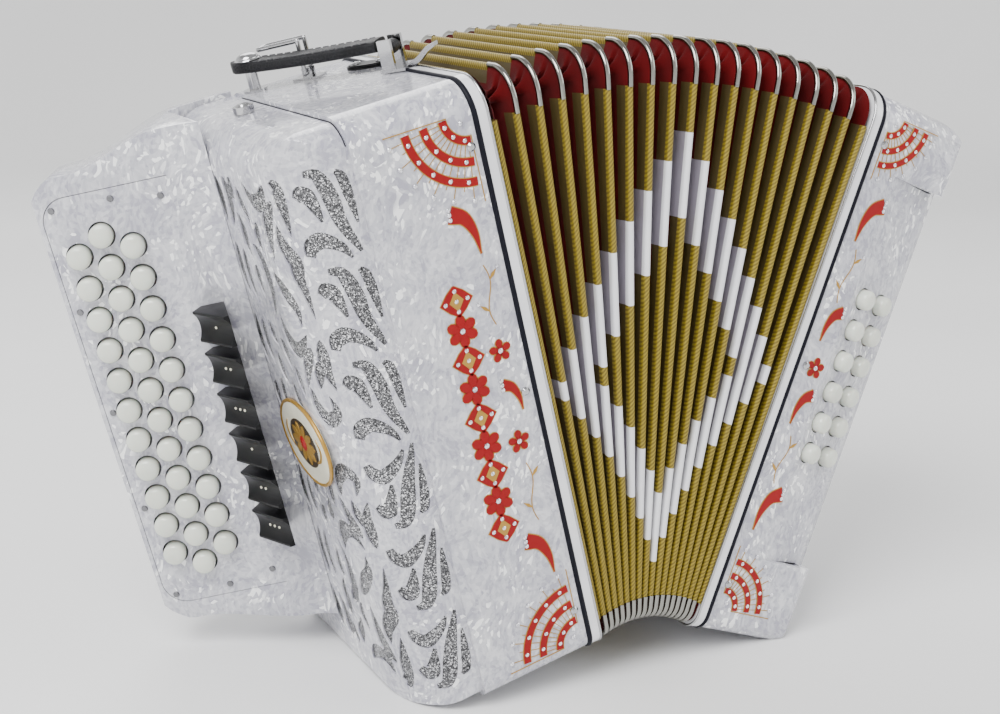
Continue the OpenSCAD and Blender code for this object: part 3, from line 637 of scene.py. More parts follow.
def make_pleat(index):
    """One ridge with half a valley on each side, blended between the two bodies."""
    spans = [(GOLD_TOP - b * GOLD_LENGTH, GOLD_TOP - a * GOLD_LENGTH) for a, b in diamond_spans(index)]
    cuts = {GOLD_LOW, GOLD_TOP}
    cuts |= {z for span in spans for z in span}
    even = [GOLD_LOW + GOLD_LENGTH * k / 12 for k in range(13)]
    cuts |= {z for z in even if all(abs(z - cut) > 4 for cut in cuts)}
    stations = outline_stations(sorted(cuts))
    count = len(stations)
    kinds = [kind for kind, _ in stations] + [stations[0][0]]
    point = pleat_frames(index)
    heights = [station_point(s, 0)[1] for s in stations]
    runs = [0.0]
    for n in range(1, count + 1):
        a = Vector(station_point(stations[n - 1], 0))
        b = Vector(station_point(stations[n % count], 0))
        runs.append(runs[-1] + (a - b).length)

    def straight(n):
        return isinstance(kinds[n], str) and kinds[n] == kinds[n + 1]

    def white(n):
        if kinds[n] != "front" or not straight(n):
            return False
        middle = (stations[n][1] + stations[n + 1][1]) / 2
        return any(low < middle < high for low, high in spans)

    shape = Shape()
    # the card and cloth: a V that runs all the way round
    across = [q for q in ACROSS if (q >= 0 or index > 0) and (q <= 0 or index <= FOLDS)]
    width = len(across)
    verts, uvs, faces, slots = [], [], [], []
    for n in range(count + 1):
        station = stations[n % count]
        for q in across:
            depth = pleat_depth(station, q)
            verts.append(point(q, depth, station))
            uvs.append((runs[n], copysign(depth, q)))
    for n in range(count):
        for k in range(width - 1):
            a = n * width + k
            faces.append((a, a + 1, a + width + 1, a + width))
            outer = abs(across[k] + across[k + 1]) < 0.48
            # the white spans of a flank take the white card darkened as painted shade
            if white(n):
                slots.append(SHADED_WHITE_SLOT)
            # the outer band of a flank takes the gold darkened as painted shade
            elif straight(n) and outer:
                slots.append(SHADED_GOLD_SLOT)
            else:
                slots.append(CLOTH_SLOT)
    shape.add((verts, faces, uvs), slots)

    # the braid or white tape folded over the ridge, on the straight runs only
    arc = [radians(a) for a in (-90, -66, -42, -20, 0, 20, 42, 66, 90)]
    for n in range(count):
        if not straight(n):
            continue
        ends = []
        for m in (n, (n + 1) % count):
            pitch = local_pitch(heights[m])
            half = min(1.75, 0.42 * pitch)
            section = [(-half * 0.8 / pitch, 5.2)]
            section += [(half * sin(a) / pitch, 0.1 + half * 1.1 * (1 - cos(a))) for a in arc]
            section += [(half * 0.8 / pitch, 5.2)]
            ends.append([point(q, d, stations[m]) for q, d in section])
        size = len(ends[0])
        uv = [(runs[n], 0.8 * k) for k in range(size)] + [(runs[n + 1], 0.8 * k) for k in range(size)]
        strips = [(k, k + 1, size + k + 1, size + k) for k in range(size - 1)]
        tape = WHITE_SLOT if white(n) else BRAID_SLOT
        shape.add((ends[0] + ends[1], strips, uv), tape)
        if not straight((n - 1) % count):
            shape.add((ends[0], [tuple(reversed(range(size)))]), tape)
        if not straight((n + 1) % count):
            shape.add((ends[1], [tuple(range(size))]), tape)
    pleat = shape.build("bellows_pleat_%02d" % index, Matrix.Identity(4), PLEAT_MATERIALS, 50)
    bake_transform(pleat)


def corner_wire(corner, depth):
    """The path of one chrome corner: a short straight, the arc and a short straight."""
    reach = (CORNER_REACH - EDGE_R if corner < 2 else LOW_REACH - LOW_R) + 0.5
    arc = [Vector((0, *outline_point(corner, 90 * k / CORNER_STEPS, depth)))
           for k in range(CORNER_STEPS + 1)]
    turned = radians(90 * corner)
    before = Vector((0, -sin(turned), -cos(turned)))
    after = Vector((0, cos(turned), -sin(turned)))
    return [arc[0] + before * reach, *arc, arc[-1] + after * reach]


def make_corners(index):
    shape = Shape()
    for corner in range(4):
        shape.add(tube(corner_wire(corner, 1.1), 1.5, 12))
    wires = shape.build("bellows_corners_%02d" % index, fold_matrix(index), [NICKEL])
    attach(wires, "fold_%02d" % index)
    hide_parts("fold_%02d" % index)


for ridge in range(FOLDS + 2):
    make_pleat(ridge)
    if 1 <= ridge <= FOLDS:
        make_corners(ridge)

# ---- the grille cover

# The cut-outs' middle lines on the unrolled cover: mm from the front seam, and height.
# Claws come in groups of four and count their heights from the group's base.
CLAW_WIDTHS = {"long": [3.2, 6.2, 8.0, 8.2, 7.0, 5.6, 3.8, 1.8], "rim": [2.4, 5.2, 5.4, 3.8, 1.4],
               "drop": [4.6, 8.6, 9.0, 6.0, 1.8], "hook": [5.4, 8.4, 8.8, 7.0, 4.4, 1.4]}
CLAWS_DOWN = [("long", (24, 1), (18, 0), (15, -6), (13, -14), (12, -22), (10, -29), (7, -36), (5, -41)),
              ("rim", (8.5, 0), (6, -3.5), (4.8, -11), (4.0, -19), (3.4, -27)),
              ("drop", (31, -11), (28, -8.5), (24.5, -10), (22, -16), (20, -23)),
              ("hook", (31, -40), (29.5, -35), (24, -32), (18, -34), (13, -38), (10, -43))]
CLAWS_UP = [("long", (24, -1), (18.5, 0.5), (15.5, 6), (13.5, 14), (11.5, 22), (9, 30), (6.5, 37),
             (4.8, 43)),
            ("rim", (9, 4.5), (6.2, 7), (4.8, 14), (4.0, 23), (3.4, 31)),
            ("drop", (31, 11), (28, 7.8), (24.5, 9), (22, 15), (20, 23)),
            ("hook", (31, 34.5), (29, 30), (24, 27.5), (18, 31), (13, 36), (10, 41))]
# A vine leaf's width and middle line; each is repeated upside down about COVER_MIDDLE.
VINES = [
    (6.2, (51, 298), (44, 296), (43, 288), (42, 281), (41, 271)),
    (7.6, (54, 277), (54, 268), (48, 261), (44, 257), (45, 250), (42, 242), (39, 228)),
    (7.0, (59, 297), (67, 289), (79, 287), (91, 291), (98, 297)),
    (6.6, (53, 289), (63, 281), (68, 271), (71, 256)),
    (5.6, (86, 276), (93, 267), (89, 258)),
    (5.6, (115, 292), (113, 284), (107, 279), (103, 271)),
    (5.6, (131, 277), (126, 268), (127, 260), (122, 251)),
    (7.0, (112, 262), (99, 255), (95, 245), (97, 235), (106, 221)),
    (6.6, (81, 251), (72, 244), (65, 238), (58, 232), (57, 223)),
    (7.2, (93, 226), (88, 216), (78, 210), (66, 211), (54, 219)),
    (6.6, (41, 217), (42, 208), (42, 199), (37, 189)),
    (5.4, (48, 205), (52, 197), (55, 189)),
    (5.4, (90, 198), (87, 190), (83, 180)),
    (6.2, (53, 212), (63, 203), (73, 188)),
    (6.6, (69, 189), (65, 178), (54, 172), (43, 177), (47, 186)),
    (6.0, (110, 210), (103, 204), (99, 194)),
    (5.4, (167, 294), (164, 281), (166, 266)),
    (6.2, (146, 295), (142, 283), (150, 267)),
    (5.0, (128, 296), (131, 289), (130, 282)),
    (5.2, (118, 250), (121, 242), (118, 231)),
    (5.2, (128, 218), (125, 210), (118, 205)),
    (5.4, (129, 200), (127, 190), (120, 182)),
    (5.4, (109, 186), (105, 176), (97, 170)),
    (5.0, (142, 256), (146, 241), (141, 225)),
    (5.0, (159, 258), (162, 241), (156, 226)),
    (5.0, (145, 217), (149, 203), (144, 190)),
    (5.0, (163, 217), (166, 202), (161, 187)),
    (4.8, (138, 183), (143, 172), (139, 162)),
    (4.8, (158, 178), (162, 169), (158, 160)),
]
COVER_MIDDLE = 157.5
VINE_START = 36
VINE_SQUEEZE = 0.64


def spread(points, count):
    """Points evenly through a smooth curve that passes the given ones."""
    pts = [Vector(p) for p in points]
    pts = [pts[0] * 2 - pts[1]] + pts + [pts[-1] * 2 - pts[-2]]
    made = []
    spans = len(pts) - 3
    for n in range(count + 1):
        t = spans * n / count
        k = min(int(t), spans - 1)
        t -= k
        a, b, c, d = pts[k:k + 4]
        made.append(0.5 * (2 * b + (c - a) * t + (2 * a - 5 * b + 4 * c - d) * t * t
                           + (3 * b - a - 3 * c + d) * t ** 3))
    return made


def stroke(points, widths):
    """The outline of a brush stroke: its width at each point of its middle line."""
    left, right = [], []
    for n, p in enumerate(points):
        before = points[max(n - 1, 0)]
        after = points[min(n + 1, len(points) - 1)]
        way = (after - before).normalized()
        side = Vector((-way.y, way.x)) * widths[n] / 2
        left.append(p + side)
        right.append(p - side)
    return [tuple(p) for p in left + right[::-1]]


def claw(kind, *points, count=20):
    """A curved drop with a round head and a fine tip."""
    widths = CLAW_WIDTHS[kind]
    table = [(n / (len(widths) - 1), w) for n, w in enumerate(widths)]
    return stroke(spread(points, count), [along(table, n / count) for n in range(count + 1)])


def leaf(width, *points, count=16):
    """A wavy leaf, widest before its middle; leaves broaden towards the back."""
    path = spread(points, count)
    width *= 1.3 + 0.006 * max(points[0][0] - VINE_START, 0)
    widths = [max(width * sin(pi * (n / count) ** 0.8) ** 0.75, 0.5) for n in range(count + 1)]
    return stroke(path, widths)


def cover_cutouts():
    cuts = []
    for bases, claws in (((300, 251, 202), CLAWS_DOWN), ((15, 64, 113), CLAWS_UP)):
        for base in bases:
            for kind, *points in claws:
                cuts.append(claw(kind, *[(s, base + z) for s, z in points]))
    cuts.append(claw("rim", (43, 12), (40.5, 16), (39.5, 22), (39, 30), (38, 38)))
    for width, *points in VINES:
        points = [(VINE_START + (s - VINE_START) * VINE_SQUEEZE, z) for s, z in points]
        cuts.append(leaf(width, *points))
        cuts.append(leaf(width, *[(s, 2 * COVER_MIDDLE - z) for s, z in points]))
    return cuts


def turn_runs():
    """The length round the cover's bulged front up to each degree of its turn."""
    runs = [0.0]
    for degree in range(90):
        a, b = radians(degree), radians(degree + 1)
        runs.append(runs[-1] + hypot(COVER_OUT * (sin(b) - sin(a)),
                                     (COVER_TURN - COVER_STEP) * (cos(a) - cos(b))))
    return runs


TURN_RUN = turn_runs()
COVER_RUN = TURN_RUN[-1] + COVER_BACK - COVER_TURN
COVER_TOP = CASING_H - COVER_STEP
COVER_FACE = -TREBLE_W - COVER_OUT
COVER_WALL = 0.9
SCREEN_DEPTH = 1.05
FACE_ROLL = (20, 4)
FRONT_ROLL = (15.6, 6.6)


def roll_in(z, top_r, low_r):
    """How far a rounded top or bottom edge draws the wall in at height z."""
    up = min(max(z - (COVER_TOP - top_r), 0.0), top_r)
    down = min(max(COVER_STEP + low_r - z, 0.0), low_r)
    return top_r - sqrt(top_r ** 2 - up ** 2) + low_r - sqrt(low_r ** 2 - down ** 2)


def cover_point(s, z):
    """The cover's outer surface s mm round from its front seam."""
    if s < TURN_RUN[-1]:
        n = bisect(TURN_RUN, s) - 1
        t = radians(n + (s - TURN_RUN[n]) / (TURN_RUN[n + 1] - TURN_RUN[n]))
        x = -TREBLE_W - COVER_OUT * sin(t)
        y = COVER_STEP + (COVER_TURN - COVER_STEP) * (1 - cos(t))
    else:
        x = COVER_FACE
        y = COVER_TURN + s - TURN_RUN[-1]
    x = max(x, COVER_FACE + roll_in(z, *FACE_ROLL))
    y = max(y, COVER_STEP + roll_in(z, *FRONT_ROLL))
    return Vector((x, y, z))


def inside(x, y, outline):
    """Whether a point lies within a closed outline."""
    hit = False
    px, py = outline[-1]
    for qx, qy in outline:
        if (qy > y) != (py > y) and x < (px - qx) * (y - qy) / (py - qy) + qx:
            hit = not hit
        px, py = qx, qy
    return hit


def make_cover():
    """The pearl fretwork: a sheet cut flat, bent round the cover and thickened; its back end is open."""
    runs = [2.5 * k for k in range(28)] + [TURN_RUN[-1]]
    runs += [TURN_RUN[-1] + 12 * k for k in range(1, 9)] + [COVER_RUN]
    low = [COVER_STEP + v for v in (0, 0.4, 1.0, 1.8, 2.8, 4, 5.2, 6.6)]
    high = [COVER_TOP - v for v in (0, 0.25, 0.8, 1.6, 2.8, 4.4, 6.2, 8.4, 10.8, 13.4, 16.4, 20)]
    heights = sorted(low + [18 + 9.6 * k for k in range(29)] + high)
    flat = [Vector((s, z)) for s in runs for z in heights]
    rows = len(heights)
    edges = []
    for n in range(len(runs) - 1):
        edges += [(n * rows, (n + 1) * rows), (n * rows + rows - 1, (n + 1) * rows + rows - 1)]
    cuts = cover_cutouts()
    for outline in cuts:
        first = len(flat)
        flat += [Vector(p) for p in outline]
        edges += [(first + k, first + (k + 1) % len(outline)) for k in range(len(outline))]
    points, _, faces, _, _, _ = delaunay_2d_cdt(flat, edges, [], 0, 1e-4)
    boxes = [(min(p[0] for p in c), max(p[0] for p in c), min(p[1] for p in c), max(p[1] for p in c), c)
             for c in cuts]
    kept = []
    for face in faces:
        x = sum(points[i].x for i in face) / len(face)
        y = sum(points[i].y for i in face) / len(face)
        if any(a < x < b and c < y < d and inside(x, y, outline) for a, b, c, d, outline in boxes):
            continue
        p, q, r = (points[i] for i in face[:3])
        turning = (q.x - p.x) * (r.y - p.y) - (q.y - p.y) * (r.x - p.x)
        kept.append(face[::-1] if turning > 0 else face)
    shape = Shape()
    shape.add(([cover_point(p.x, p.y) for p in points], kept, [(p.x, p.y) for p in points]))
    for z, order in ((COVER_TOP, -1), (COVER_STEP, 1)):
        rim = [cover_point(s, z) for s in runs]
        rim += [Vector((-TREBLE_W, COVER_BACK, z)), Vector((-TREBLE_W, rim[0].y, z))]
        cap = list(range(len(rim)))[::order]
        shape.add((rim, [cap]))
    cover = shape.build("grille_fretwork", TREBLE, [PEARL], 0)
    welded = cover.modifiers.new("weld", "WELD")
    welded.merge_threshold = 0.00002
    wall = cover.modifiers.new("wall", "SOLIDIFY")
    wall.thickness = COVER_WALL / 1000
    wall.offset = -1
    settle(cover, 38)
    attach(cover, "treble")
    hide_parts("grille_cover")


def make_screen():
    """Glitter cloth stretched over the inside of the fretwork."""
    runs = [3 * k for k in range(23)] + [TURN_RUN[-1] + 10 * k for k in range(11)]
    heights = [4.5, 8, 12] + [20 + 14 * k for k in range(20)] + [293, 300, 305, 309, 312, 315, 317]
    verts, faces, uvs = [], [], []
    for s in runs:
        here = cover_point(s, 160)
        ahead = cover_point(s + 0.5, 160) - here
        inward = Vector((ahead.y, -ahead.x, 0)).normalized() * SCREEN_DEPTH
        if s == 0:
            inward = Vector((0, SCREEN_DEPTH, 0))
        for z in heights:
            verts.append(cover_point(s, z) + inward)
            uvs.append((s, z))
    rows = len(heights)
    for n in range(len(runs) - 1):
        for k in range(rows - 1):
            a = n * rows + k
            faces.append((a, a + 1, a + rows + 1, a + rows))
    screen = Shape().add((verts, faces, uvs)).build("glitter_screen", TREBLE, [GLITTER], 60)
    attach(screen, "treble")
    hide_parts("grille_screen")


make_screen()
make_cover()

# ---- inlaid ornaments

RED, GOLD, STONE = range(3)
INLAY = [RED_ENAMEL, GOLD_PAINT, GEM]
FRONT = turn(90, "X")
STONE_CUT = lathe([(1.35, 0.2), (1.3, 0.7), (0.75, 1.15), (0.01, 1.2)], 8)


def stone(shape, x, z, size=1.0):
    shape.add(STONE_CUT, STONE, at=FRONT @ shift(x, z, 0) @ Matrix.Scale(size, 4))


def inlay(shape, outline, slot, height=0.35):
    shape.add(slab(outline, -0.1, height), slot, at=FRONT)


def lined_stroke(shape, path, widths, line=0.55):
    """A red stroke with a gold line round it."""
    inlay(shape, stroke(path, [w + 2 * line for w in widths]), GOLD, 0.3)
    inlay(shape, stroke(path, widths), RED, 0.42)


def polar(x, z, r, angle):
    a = radians(angle)
    return Vector((x + r * cos(a), z + r * sin(a)))


def sunburst(shape, x, z, start, size=1.0):
    """A quarter rosette: gold rays, three red arcs and stones, spreading from a corner."""
    for k in range(13):
        angle = start + 7.5 * k
        edge = k in (0, 12)
        reach = size * (45 if edge else (42 if k % 2 else 38.5))
        path = [polar(x, z, r, angle) for r in (11 * size, 20 * size, 32 * size, reach)]
        inlay(shape, stroke(path, [0.55 if edge else 0.4] * 4), GOLD, 0.22)
        if k % 2 and not edge:
            stone(shape, *polar(x, z, reach + 1.5, angle), 0.95)
    for r, stones in ((13.5, 3), (24.0, 4), (34.0, 5)):
        r *= size
        path = [polar(x, z, r, start + 3 + 84 * k / 20) for k in range(21)]
        lined_stroke(shape, path, [4.0 * size] * 21, 0.45)
        for k in range(stones):
            stone(shape, *polar(x, z, r, start + 3 + 84 * (k + 0.5) / stones), 0.9)
    stone(shape, *polar(x, z, 6, start + 45))


def crescent(shape, x, z, flip=1, size=1.0):
    """A red horn that bends down to a point."""
    path = spread([(x - 6 * flip * size, z + 11 * size), (x + 1 * flip * size, z + 7 * size),
                   (x + 5 * flip * size, z - 2 * size), (x + 6 * flip * size, z - 13 * size)], 16)
    widths = [max(8.6 * size * (1 - (n / 16) ** 1.3), 0.3) for n in range(17)]
    lined_stroke(shape, path, widths)
    for sign in (1, 0, -1):
        end = path[0] + Vector((-0.4 * flip, 2.6 * sign))
        stone(shape, end.x, end.y, 0.9)


def blossom(shape, x, z, size=1.0, petals=5):
    for k in range(petals):
        path = [polar(x, z, r * size, 90 + 360 * k / petals) for r in (1.2, 2.6, 4.4, 6.0, 7.0)]
        lined_stroke(shape, path, [w * size for w in (1.2, 3.2, 4.4, 3.4, 0.8)], 0.45)
    stone(shape, x, z, 1.1)


def tendril(shape, x, z_top, z_low, sway=2.0):
    """A fine gold vine that swings from side to side, with leaves and stones along it."""
    turns = max(int((z_top - z_low) / 13), 2)
    path = [Vector((x + sway * sin(pi * n / 6), z_top + (z_low - z_top) * n / (6 * turns)))
            for n in range(6 * turns + 1)]
    inlay(shape, stroke(path, [0.55] * len(path)), GOLD, 0.22)
    for k in range(turns):
        at = path[6 * k + 3]
        side = 1 if k % 2 == 0 else -1
        tip = at + Vector((4.2 * side, 4.0))
        inlay(shape, stroke([at, (at + tip) / 2, tip], [0.5, 1.9, 0.3]), GOLD, 0.25)
        stone(shape, tip.x + 1.0 * side, tip.y + 1.2, 0.75)


def lozenge_band(shape, x_top, z_top, x_low, z_low, count):
    """A chain of red lozenges and small blossoms down the front."""
    for k in range(count):
        t = k / (count - 1)
        x, z = x_top + (x_low - x_top) * t, z_top + (z_low - z_top) * t
        if k % 2:
            blossom(shape, x, z, 1.25, 6)
            continue
        path = [Vector((x, z + v)) for v in (8.2, 5.0, 0, -5.0, -8.2)]
        lined_stroke(shape, path, [0.4, 9.0, 18.0, 9.0, 0.4])
        inlay(shape, stroke(path[1:4], [0.4, 8.0, 0.4]), GOLD, 0.55)
        for dx, dz in ((0, 0), (0, 5.4), (0, -5.4), (6.2, 0), (-6.2, 0)):
            stone(shape, x + dx, z + dz, 0.9)


def make_decal(name, body, matrix, *ornaments):
    """Draws (function, values) pairs on a body's front, in the body's own x and z."""
    shape = Shape()
    for draw, *values in ornaments:
        draw(shape, *values)
    decal = shape.build(name, matrix, INLAY, 30)
    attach(decal, body)


make_decal("treble_inlay", "treble", TREBLE,
           (sunburst, -3.6, 307.8, 180), (crescent, -18, 251), (lozenge_band, -31, 219, -34, 92, 9),
           (tendril, -12.5, 232, 200), (blossom, -13.7, 186, 0.9), (crescent, -12.5, 160, 1, 0.7),
           (blossom, -14.6, 135, 0.9), (tendril, -13.5, 122, 88), (crescent, -17.4, 68),
           (sunburst, -4.6, 8.5, 90))
make_decal("bass_inlay", "bass", BASS,
           (sunburst, 5.0, 310.5, 270, 0.82), (crescent, 15.3, 251, -1), (tendril, 12.3, 234, 202),
           (crescent, 14.4, 189, -1, 0.8), (blossom, 13.1, 163, 0.9), (crescent, 14, 139, -1, 0.8),
           (tendril, 13, 122, 93), (crescent, 15.6, 77, -1), (sunburst, 5.0, 14.5, 0, 0.86))

# ---- buttons and switches

CAP_R = 6.4
CAP = [(5.9, -3.0), (6.4, -2.4), (6.4, 3.6), (6.25, 4.6), (5.7, 5.5), (4.6, 6.15), (2.6, 6.55), (0.01, 6.7)]


def button_row(name, node, body, matrix, places, radius):
    shape = Shape()
    profile = [(r * radius / CAP_R, h) for r, h in CAP]
    for x, z in places:
        shape.add(lathe(profile, 40), at=shift(x, 0, z) @ FRONT)
    row = shape.build(name, matrix, [IVORY], 50)
    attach(row, body)
    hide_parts(node)


for row, (name, count) in enumerate((("outer", 11), ("middle", 12), ("inner", 11))):
    button_row("treble_caps_" + name, "treble_buttons_" + name, "buttons_" + name, PLATE,
               [((row - 1) * ROW_PITCH, ((count - 1) / 2 - k) * BUTTON_PITCH) for k in range(count)], CAP_R)
for name, x in (("front", 13.5), ("end", 33.0)):
    button_row("bass_caps_" + name, "bass_buttons_" + name, "bass_buttons_" + name, PANEL,
               [(x, BASS_BUTTON_TOP - BASS_BUTTON_PITCH * k) for k in range(6)], BASS_BUTTON_R)


def switch_marks():
    """Small pale dots on the switches, counting from one up to three."""
    face = degrees(atan2(-20.6, 19.9))
    dot = lathe([(0.8, -3.6), (0.75, -0.2), (0.4, -0.05), (0.01, 0.0)], 16)
    for k in range(6):
        dots = 1 + k % 3
        at = shift(46.45, -19.3, SWITCH_TOP - SWITCH_PITCH * k) @ turn(face, "Z") @ FRONT
        shape = Shape()
        for n in range(dots):
            shape.add(dot, at=at @ shift((n - (dots - 1) / 2) * 4.2, 0, -2.3))
        marks = shape.build("switch_marks_%d" % (k + 1), PLATE, [CREAM], 50)
        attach(marks, "register_switch_%d" % (k + 1))


switch_marks()

# ---- badge, seams and trims

OUTWARD = Matrix(((0, 0, -1, 0), (-1, 0, 0, 0), (0, 1, 0, 0), (0, 0, 0, 1)))


def make_badge():
    place = shift(COVER_FACE, 68, 150) @ OUTWARD
    oval = Matrix.Diagonal((33.9, 24.0, 1, 1))
    shape = Shape()
    plate = [(0.97, -0.2), (0.97, 1.5), (0.90, 1.75), (0.6, 1.95), (0.01, 2.0)]
    shape.add(lathe(plate, 96), at=place @ oval)
    rim = [(33.0 * cos(radians(a)), 23.1 * sin(radians(a)), 1.1) for a in range(0, 360, 4)]
    shape.add(tube(rim, 1.1, 12, closed=True), 1, at=place)
    for x in (-21, 21):
        curl = spread([(x, 8), (x * 1.16, 2), (x * 0.95, -5), (x * 0.5, -8)], 12)
        shape.add(slab(stroke(curl, [0.4 + 1.7 * sin(pi * n / 12) for n in range(13)]), 1.5, 2.15),
                  1, at=place)
    shape.add(lathe([(0.56, 1.5), (0.56, 2.1), (0.50, 2.2), (0.01, 2.25)], 64), 3, at=place @ oval)
    for k in range(10):
        a = radians(36 * k)
        way = Vector((1.3 * cos(a), 0.95 * sin(a)))
        petal = [way * r for r in (2.4, 5, 8, 10.5, 12.5)]
        shape.add(slab(stroke(petal, [1.0, 3.4, 5.0, 4.0, 0.6]), 2.0, 2.5), 1, at=place)
    shape.add(lathe([(4.4, 1.8), (4.2, 2.7), (2.6, 3.2), (0.01, 3.3)], 24), 2, at=place)
    badge = shape.build("oval_badge", TREBLE, [CREAM, GOLD_PAINT, RED_ENAMEL, BROWN_ENAMEL], 35)
    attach(badge, "treble")
    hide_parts("grille_badge")


make_badge()


def frame_line(x, depth):
    """A closed path round the shared outline at one x, depth inside it."""
    return [(x, *outline_point(corner, 90 * k / 8, depth)) for corner in range(4) for k in range(9)]


def make_trims():
    for body, matrix, side in (("treble", TREBLE, 1), ("bass", BASS, -1)):
        shape = Shape()
        shape.add(tube(frame_line(side * 7.7, -0.4), 0.75, 10, closed=True))
        shape.add(tube(frame_line(side * 0.8, 0.5), 1.75, 12, closed=True), 1)
        trim = shape.build(body + "_end_trim", matrix, [CHROME, RUBBER], 50)
        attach(trim, body)


make_trims()


# ---- the straps


STRAP_SIDE = Vector((0, 1, 0))


def padded_strap(path, width, thick, sides=28):
    """A strap with rounded edges along a path of (point, outward) pairs."""
    verts, uvs = [], []
    run = 0.0
    last = Vector(path[0][0])
    for point, out in path:
        point, out = Vector(point), Vector(out).normalized()
        run += (point - last).length
        last = point
        for k in range(sides):
            a = 2 * pi * k / sides
            c, s = cos(a), sin(a)
            u = copysign(abs(c) ** 0.45, c) * width / 2
            v = copysign(abs(s) ** 0.62, s) * thick / 2
            verts.append(point + STRAP_SIDE * u + out * v)
            uvs.append((run, u))
    return verts, ring_faces(len(path), sides) + end_caps(len(path), sides), uvs


def stitches(shape, path, offset, lift, pitch=4.6, length=3.2):
    """Thread along both edges of a strap, a short rod for each stitch."""
    points = [Vector(p) for p, _ in path]
    runs = [0.0]
    for a, b in zip(points, points[1:]):
        runs.append(runs[-1] + (b - a).length)

    def at(run):
        n = min(max(bisect(runs, run) - 1, 0), len(runs) - 2)
        t = (run - runs[n]) / (runs[n + 1] - runs[n])
        out = Vector(path[n][1]).lerp(Vector(path[n + 1][1]), t).normalized()
        return points[n].lerp(points[n + 1], t) + out * lift

    run = pitch
    while run < runs[-1] - pitch:
        for sign in (1, -1):
            ends = [at(run + length * k / 2) + STRAP_SIDE * offset * sign for k in range(3)]
            shape.add(tube(ends, 0.38, 6), 1)
        run += pitch


STRAP_LEN = hypot(67, 65)
STRAP_START = 5.5
STRAP_SAG = 0.9


def make_bellows_strap():
    free = STRAP_LEN - STRAP_START
    path = []
    for n in range(25):
        t = n / 24
        slope = STRAP_SAG * pi * cos(pi * t) / free
        path.append(((STRAP_START + free * t, 0, 2.4 - STRAP_SAG * sin(pi * t)), (slope, 0, 1)))
    shape = Shape()
    verts, faces, uvs = padded_strap(path, 16, 6.4)
    for v in verts:
        past = v.x - (STRAP_LEN - 8)
        if past > 0:
            v.y *= sqrt(max(1 - (past / 8.2) ** 2, 0.04))
    shape.add((verts, faces, uvs))
    stitches(shape, path[:-2], 6.3, 2.95)
    # the leather folded round the wire loop
    loop = [((3.1 * cos(a), 0, 0.3 + 3.1 * sin(a)), (cos(a), 0, sin(a)))
            for a in [radians(d) for d in range(60, 301, 20)]]
    shape.add(padded_strap(loop, 9.5, 1.6, 16))
    # the snap cap near the tip
    dome = [(6.4, 5.2), (6.4, 6.0), (6.0, 7.0), (5.0, 8.0), (3.2, 8.8), (1.2, 9.1), (0.01, 9.15)]
    washer = [(7.0, 5.0), (7.3, 5.5), (7.0, 6.0), (6.2, 6.2)]
    for profile in (dome, washer):
        shape.add(lathe(profile, 48), 2, at=shift(STRAP_LEN - 10, 0, 0))
    strap = shape.build("leather_bellows_strap", STRAP, [LEATHER, THREAD, CHROME], 45)
    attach(strap, "bellows_strap")
    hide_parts("bellows_strap")


make_bellows_strap()


def make_strap_plate():
    """The black oval plate beside the strap, held by two screws."""
    outline = [(24 + 13 * cos(radians(a)), -21 + 6.5 * sin(radians(a))) for a in range(0, 360, 10)]
    inner = [(24 + (x - 24) * 0.93, -21 + (y + 21) * 0.86) for x, y in outline]
    shape = Shape()
    shape.add(slab(outline, -12.1, -10.4))
    shape.add(slab(inner, -10.5, -9.8))
    for x in (17, 31):
        shape.add(lathe([(2.6, -9.9), (2.6, -9.2), (1.9, -8.5), (0.01, -8.3)], 24), 1, at=shift(x, -21, 0))
        slot = [(x - 1.7, -21.25), (x + 1.7, -21.25), (x + 1.7, -20.75), (x - 1.7, -20.75)]
        shape.add(slab(slot, -8.6, -8.25), 2)
    plate = shape.build("strap_side_plate", STRAP, [BLACK, CHROME, RUBBER], 40)
    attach(plate, "treble")


make_strap_plate()


def make_hand_strap():
    centre = Vector((BASS_W + HAND_STRAP_OUT - HAND_STRAP_BOW, 121, CASING_H / 2))
    path = []
    for n in range(41):
        a = radians(-16.2 + 32.4 * n / 40)
        out = Vector((cos(a), 0, sin(a)))
        path.append((centre + out * (HAND_STRAP_BOW - 2), out))
    shape = Shape()
    shape.add(padded_strap(path, 58, 5.4, 40))
    stitches(shape, path, 25.5, 2.5, 5.4, 3.6)
    strap = shape.build("leather_hand_strap", BASS, [LEATHER, THREAD], 45)
    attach(strap, "bass")
    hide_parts("hand_strap")


make_hand_strap()

# ---- finishes of the CAD solids


def finish(material, *nodes):
    for node in nodes:
        mesh = NODES[node].data
        if not mesh.materials:
            mesh.materials.append(material)
        for n in range(len(mesh.materials)):
            mesh.materials[n] = material


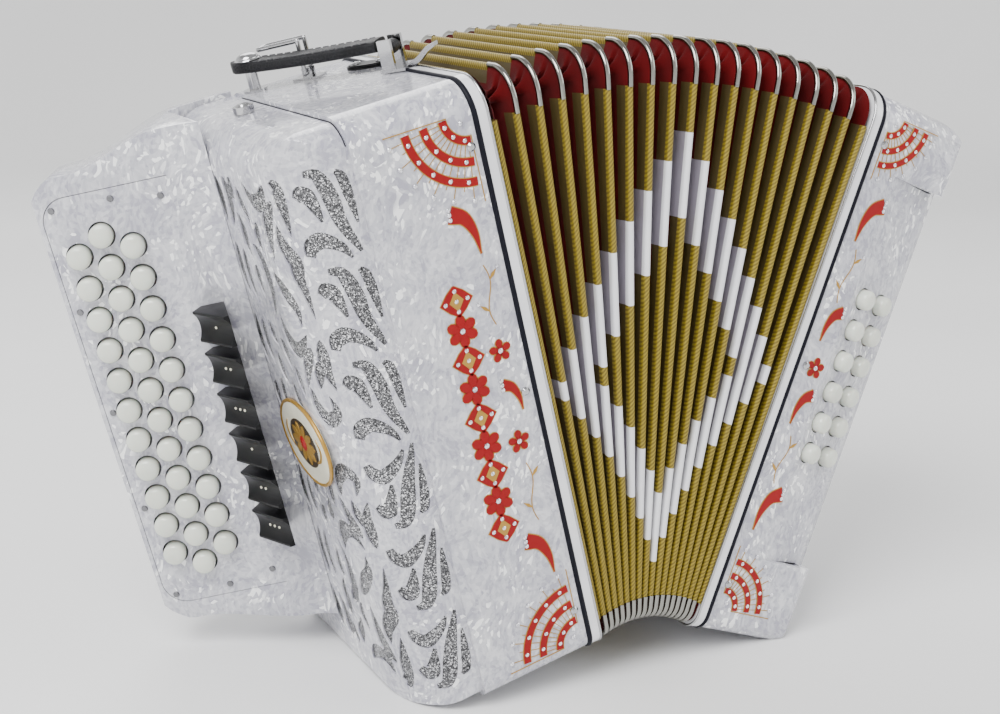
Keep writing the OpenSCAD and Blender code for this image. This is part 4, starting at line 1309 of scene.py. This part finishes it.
finish(PEARL, "treble_casing", "fingerboard", "button_plate", "register_rail", "bass_casing")
finish(WHITE, "treble_bellows_frame", "bass_bellows_frame")
finish(RUBBER, "treble_gasket", "bass_gasket")
finish(CHROME, "treble_bellows_pins", "bass_bellows_pins", "strap_clip", "strap_bracket",
       "strap_parking_stud", "strap_loop", "lower_strap_loop", "hand_strap_brackets",
       "hand_strap_adjuster", "grille_thumbscrews")
finish(STEEL, "plate_screws")
finish(WOOD, "treble_reed_blocks", "bass_reed_block")
finish(IVORY, "air_button")
finish(BLACK, *["register_switch_%d" % k for k in range(1, 7)])

# ---- CAD solids redrawn with soft edges


def soften(node, body, width):
    """Stands in for a CAD solid: the same shape with its sharp edges rounded over."""
    mesh = NODES[node].data.copy()
    work = bmesh.new()
    work.from_mesh(mesh)
    bmesh.ops.remove_doubles(work, verts=work.verts, dist=1e-6)
    bmesh.ops.dissolve_limit(work, angle_limit=radians(0.6), verts=work.verts, edges=work.edges)
    work.to_mesh(mesh)
    work.free()
    made = new_object(node + "_soft", mesh)
    rounding = made.modifiers.new("bevel", "BEVEL")
    rounding.width = width / 1000
    rounding.segments = 3
    rounding.limit_method = "ANGLE"
    rounding.angle_limit = radians(40)
    rounding.use_clamp_overlap = True
    rounding.harden_normals = False
    settle(made, 30)
    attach(made, body)
    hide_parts(node)
    return made


for k in range(1, 7):
    soften("register_switch_%d" % k, "register_switch_%d" % k, 0.8)
soften("fingerboard", "treble", 1.0)
soften("bass_casing", "bass", 1.0)


def make_seam_shadow():
    """The fine dark line where the cover meets the casing: a dark rod that paints the shadow of the small
    step there.
    """
    round_r = FRONT_ROLL[0]
    path = []
    for k in range(2, 10):
        a = radians(10 * k)
        path.append((-TREBLE_W - 0.2, COVER_STEP + round_r - (round_r + 0.1) * cos(a),
                     COVER_TOP - round_r + (round_r + 0.1) * sin(a)))
    path += [(-TREBLE_W - 0.2, y, COVER_TOP + 0.1) for y in range(24, 156, 12)]
    seam = Shape().add(tube(path, 0.34, 8)).build("cover_seam_shadow", TREBLE, [RUBBER], 60)
    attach(seam, "treble")


make_seam_shadow()
